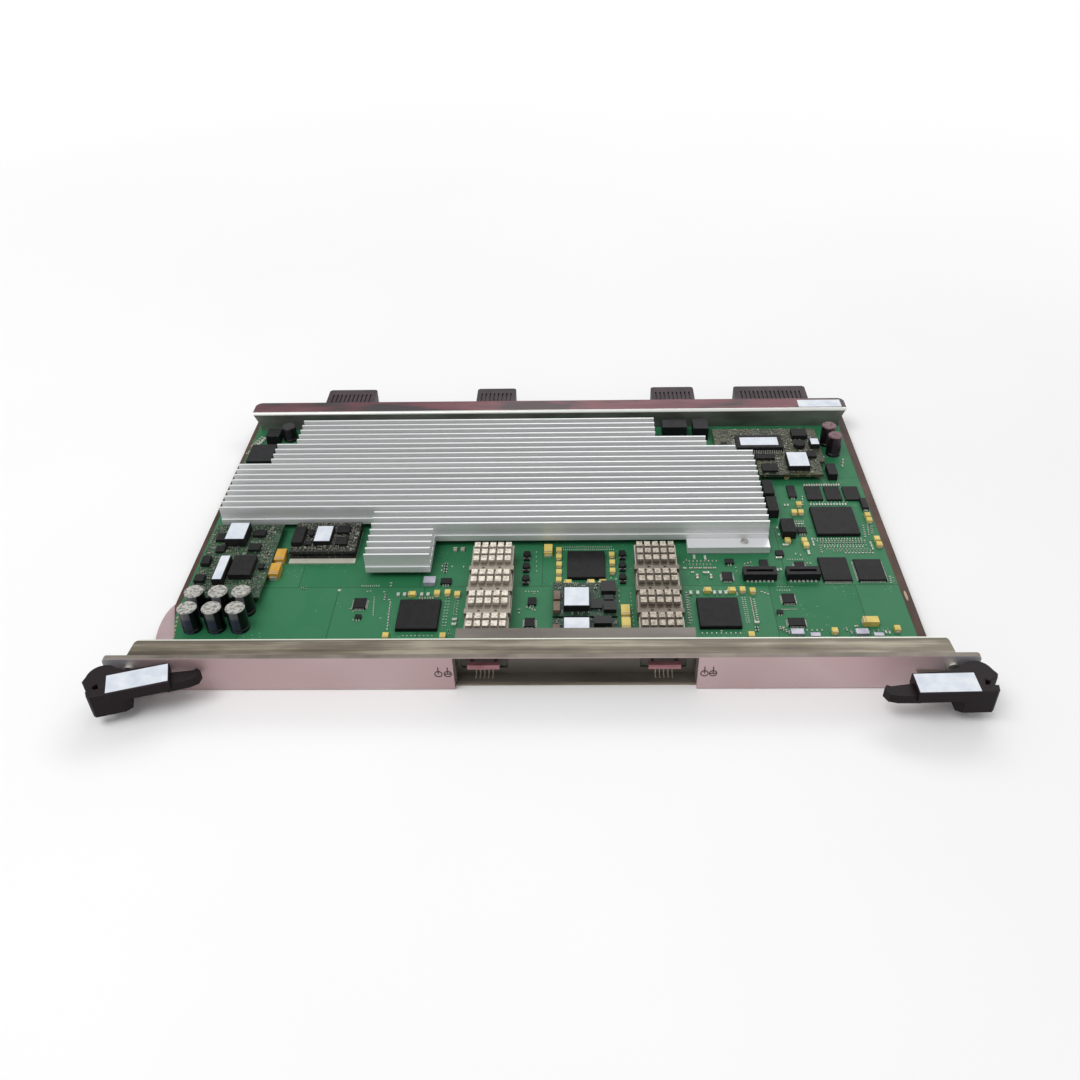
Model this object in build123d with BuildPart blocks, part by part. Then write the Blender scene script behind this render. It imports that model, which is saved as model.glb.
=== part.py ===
"""Ethernet interface board: a plug-in line card, nine units high, lying component side up.

Millimetres. X runs along the front panel, +Y from the panel to the backplane connectors, +Z up.
The origin is on the bench under the middle of the card: the panel's middle in X, half way
along the card's depth in Y, and the panel's lower edge in Z.
"""
import os

from build123d import *

# Front panel plate and the folded shield behind it
panel_width = 395.4
panel_height = 20.2
panel_thickness = 2.5
panel_corner_radius = 2.2
panel_edge_break = 0.3
panel_front_y = -113.0
panel_back_y = panel_front_y + panel_thickness
shield_gauge = 0.8
shield_inset = 11.2
shield_taper = 0.8
shield_depth = 10.2
shield_web_inset = 15.7
shield_corner_radius = 3.0
shield_front_x = panel_width / 2 - shield_inset
shield_rear_x = shield_front_x - shield_taper
shield_web_x = panel_width / 2 - shield_web_inset

# Circuit board, with its front left corner cut away
board_length = 366.7
board_thickness = 2.4
board_bottom_z = 3.1
board_setback = 7.5
board_rear_margin = 26.5
board_corner_cut_x = -176.8
board_corner_cut_reach = 30.0
board_corner_end_reach = 52.4
board_corner_radius = 2.0
board_top_z = board_bottom_z + board_thickness
ear_gauge = 0.8
ear_inner_x = -172.0
ear_front_reach = 14.0
ear_outer_points = ((-185.8, 26.0), (-187.6, 37.0), (-187.7, 46.0), (-186.2, 53.6), (-183.4, 58.0))
board_front_y = panel_back_y + board_setback
seat_gap = 0.1

# Screws from below, in the board's clearance holes
board_hole_radius = 1.5
screw_radius = 1.25
screw_head_radius = 2.5
screw_head_height = 1.4
screw_hole_clearance = 0.05

# Port recess: a notch in the panel's lower edge, and the sheet-metal tray that lines it
recess_left_x = -38.4
recess_right_x = 72.4
recess_lintel = 0.5
tray_bottom_z = 1.0
recess_width = recess_right_x - recess_left_x
recess_middle_x = (recess_left_x + recess_right_x) / 2
tray_gauge = 0.7
tray_rear_reach = 20.4
tray_top_z = panel_height - shield_gauge - seat_gap

# Light pipes beside the recess
light_pipe_radius = 0.8
light_pipe_z = 10.0
light_pipe_tail = 2.0
light_pipe_clearance = 0.05
light_pipe_sites_x = (-45.3, -41.0, 75.3, 79.2)

# Brackets that join the shield to the board
board_bracket_sites_x = (-120.0, -70.0, 100.0, 150.0)
board_bracket_width = 9.0
board_bracket_foot = 13.5
board_bracket_height = 6.5
board_bracket_gauge = 1.2

# Spring fingers on the tray's floor
finger_count = 5
finger_pitch = 1.95
finger_width = 0.5
finger_gauge = 0.3
finger_rise = 3.2
finger_tip_rise = 1.3
finger_tip_inset = 1.0
finger_bar_height = 0.8

# Transceiver cages and the dust covers in their mouths
cage_width = 21.2
cage_length = 78.0
cage_height = 8.6
cage_wall = 0.5
cage_setback = 10.4
cage_sites_x = {"left": -25.2, "right": 57.8}
cage_window_margin = 0.4
cage_floor_opening = 16.0
cover_plate_thickness = 0.8
cover_plug_depth = 9.0
cover_clearance = 0.15
pull_bar_width = 14.8
pull_bar_depth = 2.3
pull_bar_height = 2.6
pull_bar_reach = 4.6
pull_bar_z = 9.5
pull_arm_width = 1.4
pull_arm_pitch = 11.0
edge_connector_width = 18.0
edge_connector_depth = 9.0
edge_connector_height = 5.6
edge_connector_from_rear = 2.5
edge_slot_height = 1.6
edge_slot_depth = 5.0
edge_slot_margin = 1.6

# Pin-fin heat sinks on the cages, and the clips that hold them
pin_sink_width = 20.0
pin_sink_length = 64.8
pin_sink_base = 1.0
pin_sink_setback = 23.0
pin_columns = 5
pin_rows = 12
pin_height = 2.6
pin_width = 2.9
pin_length = 3.7
clip_rows = (2, 5, 8)
clip_strap_width = 3.2
clip_gauge = 0.5
clip_rail_height = 3.0
clip_leg_height = 5.6
clip_hole_radius = 0.7
clip_hole_pitch = 8.2

# Main heat sink: fins across the board on one stepped base
fin_pitch = 5.15
fin_thickness = 1.1
fin_top_z = 20.0
sink_base_bottom_z = 9.0
sink_base_thickness = 3.4
sink_base_top_z = sink_base_bottom_z + sink_base_thickness
sink_lip = 0.7
first_fin_setback = 100.5
forward_fin_count = 5
rear_fin_count = 20
foot_left_x = 75.5
foot_reach = 9.0
foot_thickness = 3.6
foot_overlap = 6.0
foot_pad_thickness = 0.5
foot_screw_x = 105.5
foot_screw_radius = 1.9
foot_screw_head_height = 1.2
foot_screw_shaft_radius = 1.0
sink_post_radius = 3.0
sink_post_hole_depth = 5.0
sink_post_sites = (
    (-166.0, 124.0),
    (-166.0, 152.0),
    (-84.0, 107.0),
    (-30.0, 108.0),
    (60.0, 108.0),
    (112.0, 150.0),
    (56.0, 197.0),
    (-140.0, 197.0),
)

# Chips under the main heat sink, with thermal pads
covered_chip_size = 35.0
covered_chip_height = 3.0
covered_pad_size = 32.0
covered_chip_sites = ((-125.0, 140.0), (-60.0, 152.0), (10.0, 152.0), (76.0, 142.0))

# Rear stiffener
stiffener_left_reach = 42.7
stiffener_right_reach = 20.7
stiffener_gauge = 1.2
stiffener_wall_inset = 13.4
stiffener_top_z = 17.6
stiffener_flange_reach = 12.6
stiffener_corner_radius = 4.0
stiffener_bend_radius = 1.6
stiffener_foot_reach = 9.0
stiffener_foot_margin = 1.0
stiffener_end_taper = 3.6
stiffener_left_screw_inset = 22.3
stiffener_right_screw_inset = 10.3
stiffener_middle_screws_x = (-76.0, 23.0, 105.0)

# Backplane connectors
connector_top_z = 16.2
connector_overhang = 17.0
connector_inside_reach = 11.0
connector_drop = 1.6
connector_spans = ((-139.6, -109.2), (-45.0, -20.6), (64.6, 91.4), (116.8, 161.6))
connector_names = ("first", "second", "third", "fourth")
connector_corner_radius = 2.0
wafer_pitch = 2.6
wafer_slot_width = 0.9
wafer_slot_depth = 5.0
wafer_groove_depth = 0.9
wafer_margin = 1.6

# Captive screws at the panel's ends
captive_inset = 12.7
captive_x = panel_width / 2 - captive_inset
captive_z = 15.3
captive_head_radius = 2.6
captive_head_length = 2.6
captive_edge_break = 0.4
captive_shaft_radius = 1.25
captive_clearance = 0.05
captive_tip_reach = 7.5
captive_slot_width = 0.7
captive_slot_depth = 0.9
collar_radius = 2.4
collar_thickness = 0.6

# Lever: one moulding that turns on an upright pin near the panel's end
lever_top_z = 19.0
claw_bottom_z = 6.0
pad_bottom_z = 13.0
hook_top_z = 15.6
hook_bottom_z = 11.0
lever_edge_break = 0.5
lever_slot_span = 40.0
pivot_inset = 7.0
pivot_x = panel_width / 2 - pivot_inset
pivot_reach = 11.2
pivot_pin_radius = 1.6
pivot_clearance = 0.05
pivot_pin_bottom_z = 5.0
pivot_pin_top_z = 16.5
pivot_slot_front = 5.4
eye_radius = 4.6
tongue_bottom_z = 8.6
tongue_thickness = 3.0
tongue_play = 0.15
bracket_gauge = 2.0
bracket_bottom_z = 3.0
bracket_inner_inset = 27.7
bracket_outer_inset = 11.7
bracket_inner_x = panel_width / 2 - bracket_inner_inset
bracket_outer_x = panel_width / 2 - bracket_outer_inset
left_lever_rest_deg = 16.5
right_lever_rest_deg = 1.5

# Bare labels
label_thickness = 0.15
label_margin = 0.8
narrow_label_margin = 5.0
lever_label_length = 26.4
lever_label_width = 11.0
lever_label_x = -12.6
lever_label_y = -3.4
stiffener_label_length = 26.0
stiffener_label_width = 8.2
stiffener_label_inset = 15.7

# Electrolytic capacitors
bulk_radius = 4.7
bulk_height = 13.8
bulk_columns_x = (-169.4, -157.6, -146.1)
bulk_rows_y = (36.1, 48.1)
rear_cap_radius = 4.2
rear_cap_height = 13.4
rear_cap_sites = ((169.2, 185.2), (167.6, 195.9))
low_cap_height = 9.6
low_cap_site = (-157.9, 206.0)
can_groove_depth = 0.4
can_groove_width = 1.0
can_groove_rise = 1.6
can_edge_break = 0.5

# Left power module: a small board on posts, with two labelled transformers and a choke
module_board_thickness = 1.6
left_module_board_z = 8.4
left_module_left_x = -177.3
left_module_right_x = -140.6
left_module_front_y = 53.4
left_module_rear_y = 113.4
module_post_radius = 1.2
module_post_inset = 3.0

# Converter brick beside it: two boards, a core between them, on a white foot pad
brick_left_x = -133.0
brick_right_x = -98.2
brick_front_y = 88.4
brick_rear_y = 113.4
brick_pad_thickness = 0.8
brick_pad_lip = 3.6
brick_core_height = 1.4

# Rear right power module
right_module_board_z = 8.4
right_module_left_x = 122.0
right_module_right_x = 158.3
right_module_front_y = 157.2
right_module_rear_y = 206.2
right_wing_left_x = 99.8
right_wing_right_x = 161.4
right_wing_left_front_y = 179.6
right_wing_right_front_y = 170.5

# Two middle regulator modules, one behind the other: (front, rear) of each board
middle_module_left_x = 5.8
middle_module_right_x = 37.4
middle_module_spans = ((41.0, 66.0), (19.6, 39.4))
middle_module_board_z = 6.9
middle_module_board_thickness = 1.0

os.makedirs("parts", exist_ok=True)
upward = (Align.CENTER, Align.CENTER, Align.MIN)
backward = (Align.CENTER, Align.MIN, Align.MIN)


def from_panel(reach):
    """The Y of a place given by its distance behind the panel's front face."""
    return panel_front_y + reach


def on_board(x, reach, rise=0.0):
    """A point on the board's top face, or the given rise above it."""
    return x, from_panel(reach), board_top_z + rise


def fin_line(row):
    """The Y of a fin's middle; row 0 is the front fin over the cages."""
    return from_panel(first_fin_setback + fin_pitch * row)


def write(piece, label):
    """Label a finished piece and write its file."""
    piece.part.label = label
    export_step(piece.part, f"parts/{label}.step")


# Circuit board, drilled for the screws that come up through it
board_rear_y = fin_line(rear_fin_count) + board_rear_margin
board_depth = board_rear_y - board_front_y
board_middle_y = board_front_y + board_depth / 2
board_left_x = -board_length / 2
stiffener_wall_y = board_rear_y - stiffener_wall_inset
stiffener_screw_y = stiffener_wall_y + stiffener_gauge + stiffener_foot_reach / 2
screw_sites = [(x, from_panel(reach)) for x, reach in sink_post_sites]
stiffener_left_x = connector_spans[0][0] - stiffener_left_reach
stiffener_right_x = connector_spans[-1][1] + stiffener_right_reach
stiffener_screws_x = (
    stiffener_left_x + stiffener_left_screw_inset,
    *stiffener_middle_screws_x,
    stiffener_right_x - stiffener_right_screw_inset,
)
stiffener_screw_sites = [(x, stiffener_screw_y) for x in stiffener_screws_x]
with BuildPart() as main_board:
    with BuildSketch(Plane.XY.offset(board_bottom_z)):
        with Locations((0, board_middle_y)):
            RectangleRounded(board_length, board_depth, board_corner_radius)
        with BuildLine():
            Polyline(
                (board_left_x, board_front_y),
                (board_corner_cut_x, board_front_y),
                (board_corner_cut_x, from_panel(board_corner_cut_reach)),
                (board_left_x, from_panel(board_corner_end_reach)),
                close=True,
            )
        make_face(mode=Mode.SUBTRACT)
        with Locations(screw_sites + stiffener_screw_sites):
            Circle(board_hole_radius, mode=Mode.SUBTRACT)
    extrude(amount=board_thickness)
write(main_board, "main_board")

# Corner ear: a plate under the cut corner, its outer edge a curve past the board's edge
with BuildPart() as corner_ear:
    with BuildSketch(Plane.XY.offset(board_bottom_z - ear_gauge)):
        with BuildLine():
            Polyline(
                (ear_outer_points[-1][0], from_panel(ear_outer_points[-1][1])),
                (ear_inner_x, from_panel(ear_outer_points[-1][1])),
                (ear_inner_x, from_panel(ear_front_reach)),
                (ear_outer_points[0][0], from_panel(ear_front_reach)),
                (ear_outer_points[0][0], from_panel(ear_outer_points[0][1])),
            )
            Spline(*[(x, from_panel(reach)) for x, reach in ear_outer_points])
        make_face()
    extrude(amount=ear_gauge)
write(corner_ear, "corner_ear")

# Front panel plate: a notch for the ports, two screw holes and four light-pipe holes
recess_height = tray_top_z - tray_bottom_z
recess_middle_z = tray_bottom_z + recess_height / 2
notch_top_z = panel_height - recess_lintel
captive_hole_radius = captive_shaft_radius + captive_clearance
with BuildPart() as front_panel:
    with BuildSketch(Plane.XZ.offset(-panel_front_y)):
        with Locations((0, panel_height / 2)):
            RectangleRounded(panel_width, panel_height, panel_corner_radius)
    extrude(amount=-panel_thickness)
    chamfer(front_panel.faces().sort_by(Axis.Y)[0].edges(), panel_edge_break)
    with BuildSketch(Plane.XZ.offset(-panel_front_y)):
        with Locations((recess_middle_x, notch_top_z / 2)):
            Rectangle(recess_width, notch_top_z)
        with Locations((-captive_x, captive_z), (captive_x, captive_z)):
            Circle(captive_hole_radius)
        with Locations([(x, light_pipe_z) for x in light_pipe_sites_x]):
            Circle(light_pipe_radius)
    extrude(amount=-panel_thickness, mode=Mode.SUBTRACT)
write(front_panel, "front_panel")

# Shield: one sheet folded into a channel, its web against the back of the panel
with BuildPart() as panel_shield:
    for level in (0.0, panel_height - shield_gauge):
        with BuildSketch(Plane.XY.offset(level)) as flange:
            with BuildLine():
                Polyline(
                    (-shield_front_x, panel_back_y),
                    (shield_front_x, panel_back_y),
                    (shield_rear_x, panel_back_y + shield_depth),
                    (-shield_rear_x, panel_back_y + shield_depth),
                    close=True,
                )
            make_face()
            fillet(flange.vertices().group_by(Axis.Y)[-1], shield_corner_radius)
        extrude(amount=shield_gauge)
    with BuildSketch(Plane.XZ.offset(-panel_back_y)):
        with Locations((0, panel_height / 2)):
            Rectangle(2 * shield_web_x, panel_height)
        with Locations((recess_middle_x, recess_middle_z)):
            Rectangle(recess_width, recess_height, mode=Mode.SUBTRACT)
        with Locations([(x, light_pipe_z) for x in light_pipe_sites_x]):
            Circle(light_pipe_radius, mode=Mode.SUBTRACT)
    extrude(amount=-shield_gauge)
write(panel_shield, "panel_shield")

# Light pipes, pushed through the panel and the shield
with BuildPart() as light_pipes:
    with BuildSketch(Plane.XZ.offset(-panel_front_y)):
        with Locations([(x, light_pipe_z) for x in light_pipe_sites_x]):
            Circle(light_pipe_radius - light_pipe_clearance)
    extrude(amount=-(panel_thickness + shield_gauge + light_pipe_tail))
write(light_pipes, "light_pipes")

# Angle brackets from the shield's web to the board
shield_web_y = panel_back_y + shield_gauge
with BuildPart() as board_brackets:
    for site_x in board_bracket_sites_x:
        with BuildSketch(Plane.YZ.offset(site_x - board_bracket_width / 2)):
            with BuildLine():
                Polyline(
                    (shield_web_y, board_top_z),
                    (shield_web_y + board_bracket_foot, board_top_z),
                    (shield_web_y + board_bracket_foot, board_top_z + board_bracket_gauge),
                    (shield_web_y + board_bracket_gauge, board_top_z + board_bracket_gauge),
                    (shield_web_y + board_bracket_gauge, board_top_z + board_bracket_height),
                    (shield_web_y, board_top_z + board_bracket_height),
                    close=True,
                )
            make_face()
        extrude(amount=board_bracket_width)
write(board_brackets, "board_brackets")

# Port tray: roof, two ends, floor and a back wall with a window for each cage
tray_front_y = shield_web_y + seat_gap
tray_back_y = from_panel(cage_setback) - cover_plate_thickness
tray_roof_depth = from_panel(tray_rear_reach) - tray_front_y
tray_pocket_depth = tray_back_y - tray_front_y
with BuildPart() as port_tray:
    with Locations((recess_middle_x, tray_front_y + tray_roof_depth / 2, tray_top_z - tray_gauge / 2)):
        Box(recess_width, tray_roof_depth, tray_gauge)
    with Locations((recess_middle_x, tray_front_y + tray_pocket_depth / 2, recess_middle_z)):
        Box(recess_width, tray_pocket_depth, recess_height)
    hollow_depth = tray_pocket_depth - tray_gauge
    with Locations((recess_middle_x, tray_front_y + hollow_depth / 2, recess_middle_z)):
        Box(
            recess_width - 2 * tray_gauge,
            hollow_depth,
            recess_height - 2 * tray_gauge,
            mode=Mode.SUBTRACT,
        )
    window_height = cage_height + 2 * cage_window_margin
    for cage_x in cage_sites_x.values():
        with Locations((cage_x, tray_back_y, board_top_z + cage_height / 2)):
            Box(cage_width + 2 * cage_window_margin, 3 * tray_gauge, window_height, mode=Mode.SUBTRACT)
write(port_tray, "port_tray")

# Spring fingers under each port: four strips bent from one bar on the tray's back wall
finger_root_y = tray_back_y - tray_gauge
finger_tip_y = tray_front_y + finger_tip_inset
finger_floor_z = tray_bottom_z + tray_gauge
finger_bar_z = finger_floor_z + finger_rise - finger_bar_height / 2
with BuildPart() as port_fingers:
    for cage_x in cage_sites_x.values():
        first_x = cage_x - finger_pitch * (finger_count - 1) / 2
        for index in range(finger_count):
            strip_x = first_x + finger_pitch * index - finger_width / 2
            with BuildSketch(Plane.YZ.offset(strip_x)):
                with BuildLine():
                    Polyline(
                        (finger_root_y, finger_floor_z),
                        (finger_root_y, finger_floor_z + finger_rise),
                        (finger_root_y - finger_gauge, finger_floor_z + finger_rise),
                        (finger_root_y - finger_gauge, finger_floor_z + finger_gauge),
                        (finger_tip_y + finger_tip_rise, finger_floor_z + finger_gauge),
                        (finger_tip_y, finger_floor_z + finger_tip_rise),
                        (finger_tip_y, finger_floor_z + finger_tip_rise - finger_gauge),
                        (finger_tip_y + finger_tip_rise - finger_gauge, finger_floor_z),
                        close=True,
                    )
                make_face()
            extrude(amount=finger_width)
        with Locations((cage_x, finger_root_y - finger_gauge / 2, finger_bar_z)):
            Box(finger_pitch * finger_count, finger_gauge, finger_bar_height)
write(port_fingers, "port_fingers")

# Cages: sheet boxes open at the front, with a floor opening over the edge connector
cage_front_y = from_panel(cage_setback)
cage_rear_y = cage_front_y + cage_length
cage_top_z = board_top_z + cage_height
for side, cage_x in cage_sites_x.items():
    with BuildPart() as cage:
        with Locations((cage_x, cage_front_y + cage_length / 2, board_top_z)):
            Box(cage_width, cage_length, cage_height, align=upward)
        mouth_length = cage_length - cage_wall
        with Locations((cage_x, cage_front_y + mouth_length / 2, board_top_z + cage_wall)):
            Box(
                cage_width - 2 * cage_wall,
                mouth_length,
                cage_height - 2 * cage_wall,
                align=upward,
                mode=Mode.SUBTRACT,
            )
        with Locations((cage_x, cage_rear_y - cage_wall - cage_floor_opening / 2, board_top_z)):
            Box(
                cage_width - 2 * cage_wall,
                cage_floor_opening,
                cage_wall,
                align=upward,
                mode=Mode.SUBTRACT,
            )
    write(cage, f"{side}_port_cage")

    with BuildPart() as dust_cover:
        with Locations((cage_x, cage_front_y - cover_plate_thickness / 2, board_top_z + seat_gap)):
            Box(cage_width, cover_plate_thickness, cage_height - seat_gap, align=upward)
        with Locations((cage_x, cage_front_y + cover_plug_depth / 2, board_top_z + cage_height / 2)):
            Box(
                cage_width - 2 * (cage_wall + cover_clearance),
                cover_plug_depth,
                cage_height - 2 * (cage_wall + cover_clearance),
            )
        bar_front_y = from_panel(pull_bar_reach)
        with Locations((cage_x, bar_front_y + pull_bar_depth / 2, pull_bar_z)):
            Box(pull_bar_width, pull_bar_depth, pull_bar_height)
        arm_length = cage_front_y - cover_plate_thickness - bar_front_y
        with Locations((cage_x, bar_front_y + arm_length / 2, pull_bar_z)):
            with GridLocations(pull_arm_pitch, 1, 2, 1):
                Box(pull_arm_width, arm_length, pull_bar_height)
    write(dust_cover, f"{side}_port_cover")

# Edge connectors on the board at the back of the cages
connector_y = cage_rear_y - cage_wall - edge_connector_from_rear - edge_connector_depth / 2
edge_slot_y = connector_y - (edge_connector_depth - edge_slot_depth) / 2
with BuildPart() as edge_connectors:
    for cage_x in cage_sites_x.values():
        with Locations((cage_x, connector_y, board_top_z)):
            Box(edge_connector_width, edge_connector_depth, edge_connector_height, align=upward)
        with Locations((cage_x, edge_slot_y, board_top_z + edge_connector_height / 2)):
            Box(
                edge_connector_width - 2 * edge_slot_margin,
                edge_slot_depth,
                edge_slot_height,
                mode=Mode.SUBTRACT,
            )
write(edge_connectors, "edge_connectors")

# Pin-fin heat sink on each cage; the clip's three straps lie in rows without pins
pin_row_pitch = pin_sink_length / pin_rows
pin_column_pitch = pin_sink_width / pin_columns
pin_sink_front_y = from_panel(pin_sink_setback)
pin_sink_middle_y = pin_sink_front_y + pin_sink_length / 2
pin_base_top_z = cage_top_z + pin_sink_base


def pin_row_y(row):
    """The Y of a row of pins."""
    return pin_sink_front_y + pin_row_pitch * (row + 0.5)


for side, cage_x in cage_sites_x.items():
    with BuildPart() as pin_sink:
        with Locations((cage_x, pin_sink_middle_y, cage_top_z)):
            Box(pin_sink_width, pin_sink_length, pin_sink_base, align=upward)
        pinned_rows = [row for row in range(pin_rows) if row not in clip_rows]
        for row in pinned_rows:
            with Locations((cage_x, pin_row_y(row), pin_base_top_z)):
                with GridLocations(pin_column_pitch, pin_row_pitch, pin_columns, 1):
                    Box(pin_width, pin_length, pin_height, align=upward)
    write(pin_sink, f"{side}_port_heat_sink")

    leg_x = cage_width / 2 + seat_gap + clip_gauge / 2
    strap_length = 2 * leg_x + clip_gauge
    rail_front_y = pin_row_y(clip_rows[0]) - clip_strap_width / 2
    rail_rear_y = pin_row_y(clip_rows[-1]) + clip_strap_width / 2
    with BuildPart() as sink_clip:
        for row in clip_rows:
            with Locations((cage_x, pin_row_y(row), pin_base_top_z)):
                Box(strap_length, clip_strap_width, clip_gauge, align=upward)
            with Locations((cage_x, pin_row_y(row), pin_base_top_z)):
                with GridLocations(clip_hole_pitch, clip_strap_width, 2, 1):
                    Cylinder(clip_hole_radius, clip_gauge, align=upward, mode=Mode.SUBTRACT)
            with Locations((cage_x, pin_row_y(row), pin_base_top_z + clip_gauge - clip_leg_height)):
                with GridLocations(2 * leg_x, clip_strap_width, 2, 1):
                    Box(clip_gauge, clip_strap_width, clip_leg_height, align=upward)
        rail_middle_y = (rail_front_y + rail_rear_y) / 2
        with Locations((cage_x, rail_middle_y, pin_base_top_z + clip_gauge - clip_leg_height)):
            with GridLocations(2 * leg_x, clip_strap_width, 2, 1):
                Box(clip_gauge, rail_rear_y - rail_front_y, clip_rail_height, align=upward)
    write(sink_clip, f"{side}_port_clip")

# Main heat sink: the first and last row, and the left and right end, of each run of equal fins
fin_run_rows = (
    (-forward_fin_count, -1),
    (0, 2),
    (3, 11),
    (12, 13),
    (14, 14),
    (15, 15),
    (16, 16),
    (17, rear_fin_count),
)
fin_run_ends = (
    (-90.3, -57.0),
    (-90.3, 118.5),
    (-175.0, 118.5),
    (-157.5, 118.5),
    (-157.5, 109.0),
    (-157.5, 93.0),
    (-147.0, 93.0),
    (-147.0, 64.0),
)
foot_right_x = fin_run_ends[1][1]
foot_front_y = fin_line(0) - foot_reach
foot_bottom_z = board_top_z + foot_pad_thickness
with BuildPart() as heat_sink:
    for (first, last), (left, right) in zip(fin_run_rows, fin_run_ends):
        run_front = fin_line(first) - fin_thickness / 2 - sink_lip
        run_rear = fin_line(last) + fin_thickness / 2 + sink_lip
        if last < rear_fin_count:
            run_rear = fin_line(last + 1) - fin_thickness / 2 - sink_lip
        with Locations(((left + right) / 2, (run_front + run_rear) / 2, sink_base_bottom_z)):
            Box(right - left, run_rear - run_front, sink_base_thickness, align=upward)
        fin_sites = [((left + right) / 2, fin_line(row), sink_base_top_z) for row in range(first, last + 1)]
        with Locations(fin_sites):
            Box(right - left, fin_thickness, fin_top_z - sink_base_top_z, align=upward)
    foot_middle_x = (foot_left_x + foot_right_x) / 2
    foot_depth = foot_reach + foot_overlap
    with Locations((foot_middle_x, foot_front_y + foot_depth / 2, foot_bottom_z)):
        Box(foot_right_x - foot_left_x, foot_depth, foot_thickness, align=upward)
    with Locations([on_board(x, reach) for x, reach in sink_post_sites]):
        Cylinder(sink_post_radius, sink_base_bottom_z - board_top_z, align=upward)
    with Locations([on_board(x, reach) for x, reach in sink_post_sites]):
        Cylinder(
            screw_radius + screw_hole_clearance,
            sink_post_hole_depth,
            align=upward,
            mode=Mode.SUBTRACT,
        )
    foot_screw_y = foot_front_y + foot_reach / 2
    with Locations((foot_screw_x, foot_screw_y, foot_bottom_z)):
        Cylinder(
            foot_screw_shaft_radius + screw_hole_clearance,
            foot_thickness,
            align=upward,
            mode=Mode.SUBTRACT,
        )
write(heat_sink, "heat_sink")

# Screws that hold the heat sink from under the board
with BuildPart() as heat_sink_screws:
    with Locations([(x, y, board_bottom_z - screw_head_height) for x, y in screw_sites]):
        Cylinder(screw_head_radius, screw_head_height, align=upward)
    with Locations([(x, y, board_bottom_z) for x, y in screw_sites]):
        Cylinder(screw_radius, board_thickness + sink_post_hole_depth - seat_gap, align=upward)
write(heat_sink_screws, "heat_sink_screws")

# Screw through the heat sink's foot
foot_top_z = foot_bottom_z + foot_thickness
with BuildPart() as foot_screw:
    with Locations((foot_screw_x, foot_screw_y, board_top_z)):
        Cylinder(foot_screw_shaft_radius, foot_top_z - board_top_z, align=upward)
    with Locations((foot_screw_x, foot_screw_y, foot_top_z)):
        Cylinder(foot_screw_radius, foot_screw_head_height, align=upward)
write(foot_screw, "heat_sink_foot_screw")

# Chips under the main heat sink, with thermal pads on them and under the sink's foot
covered_pad_thickness = sink_base_bottom_z - board_top_z - covered_chip_height
with BuildPart() as covered_chips:
    with Locations([on_board(x, reach) for x, reach in covered_chip_sites]):
        Box(covered_chip_size, covered_chip_size, covered_chip_height, align=upward)
write(covered_chips, "covered_chips")

with BuildPart() as thermal_pads:
    with Locations([on_board(x, reach, covered_chip_height) for x, reach in covered_chip_sites]):
        Box(covered_pad_size, covered_pad_size, covered_pad_thickness, align=upward)
    with Locations((foot_middle_x, foot_front_y + foot_depth / 2, board_top_z)):
        Box(foot_right_x - foot_left_x, foot_depth, foot_pad_thickness, align=upward)
    with Locations((foot_screw_x, foot_screw_y, board_top_z)):
        Cylinder(
            foot_screw_shaft_radius + screw_hole_clearance,
            foot_pad_thickness,
            align=upward,
            mode=Mode.SUBTRACT,
        )
write(thermal_pads, "thermal_pads")

# Rear stiffener: top flange, front wall with tapered ends, and feet between the connectors
flange_front_y = stiffener_wall_y
flange_rear_y = stiffener_wall_y + stiffener_flange_reach
stiffener_middle_x = (stiffener_left_x + stiffener_right_x) / 2
foot_left_end_x = stiffener_left_x + stiffener_end_taper
foot_right_end_x = stiffener_right_x - stiffener_end_taper
foot_edges = [foot_left_end_x]
for left, right in connector_spans:
    foot_edges += [left - stiffener_foot_margin, right + stiffener_foot_margin]
foot_edges.append(foot_right_end_x)
with BuildPart() as rear_stiffener:
    with BuildSketch(Plane.XY.offset(stiffener_top_z - stiffener_gauge)) as top_flange:
        with Locations((stiffener_middle_x, (flange_front_y + flange_rear_y) / 2)):
            Rectangle(stiffener_right_x - stiffener_left_x, stiffener_flange_reach)
        fillet(top_flange.vertices().group_by(Axis.Y)[-1], stiffener_corner_radius)
    extrude(amount=stiffener_gauge)
    with BuildSketch(Plane.XZ.offset(-flange_front_y)):
        with BuildLine():
            Polyline(
                (stiffener_left_x, stiffener_top_z),
                (foot_left_end_x, board_top_z + stiffener_end_taper),
                (foot_left_end_x, board_top_z),
                (foot_right_end_x, board_top_z),
                (foot_right_end_x, board_top_z + stiffener_end_taper),
                (stiffener_right_x, stiffener_top_z),
                close=True,
            )
        make_face()
    extrude(amount=-stiffener_gauge)
    for left, right in zip(foot_edges[::2], foot_edges[1::2]):
        with Locations(((left + right) / 2, stiffener_wall_y + stiffener_gauge, board_top_z)):
            Box(right - left, stiffener_foot_reach, stiffener_gauge, align=backward)
    with Locations([(x, y, board_top_z) for x, y in stiffener_screw_sites]):
        Cylinder(
            screw_radius + screw_hole_clearance,
            stiffener_gauge,
            align=upward,
            mode=Mode.SUBTRACT,
        )
    bend_edges = rear_stiffener.edges().filter_by(Axis.X).group_by(Axis.Z)[-1].sort_by(Axis.Y)
    fillet(bend_edges[0], stiffener_bend_radius)
write(rear_stiffener, "rear_stiffener")

with BuildPart() as stiffener_screws:
    with Locations([(x, y, board_bottom_z - screw_head_height) for x, y in stiffener_screw_sites]):
        Cylinder(screw_head_radius, screw_head_height, align=upward)
    with Locations([(x, y, board_bottom_z) for x, y in stiffener_screw_sites]):
        Cylinder(screw_radius, board_thickness + stiffener_gauge, align=upward)
write(stiffener_screws, "stiffener_screws")

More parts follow.
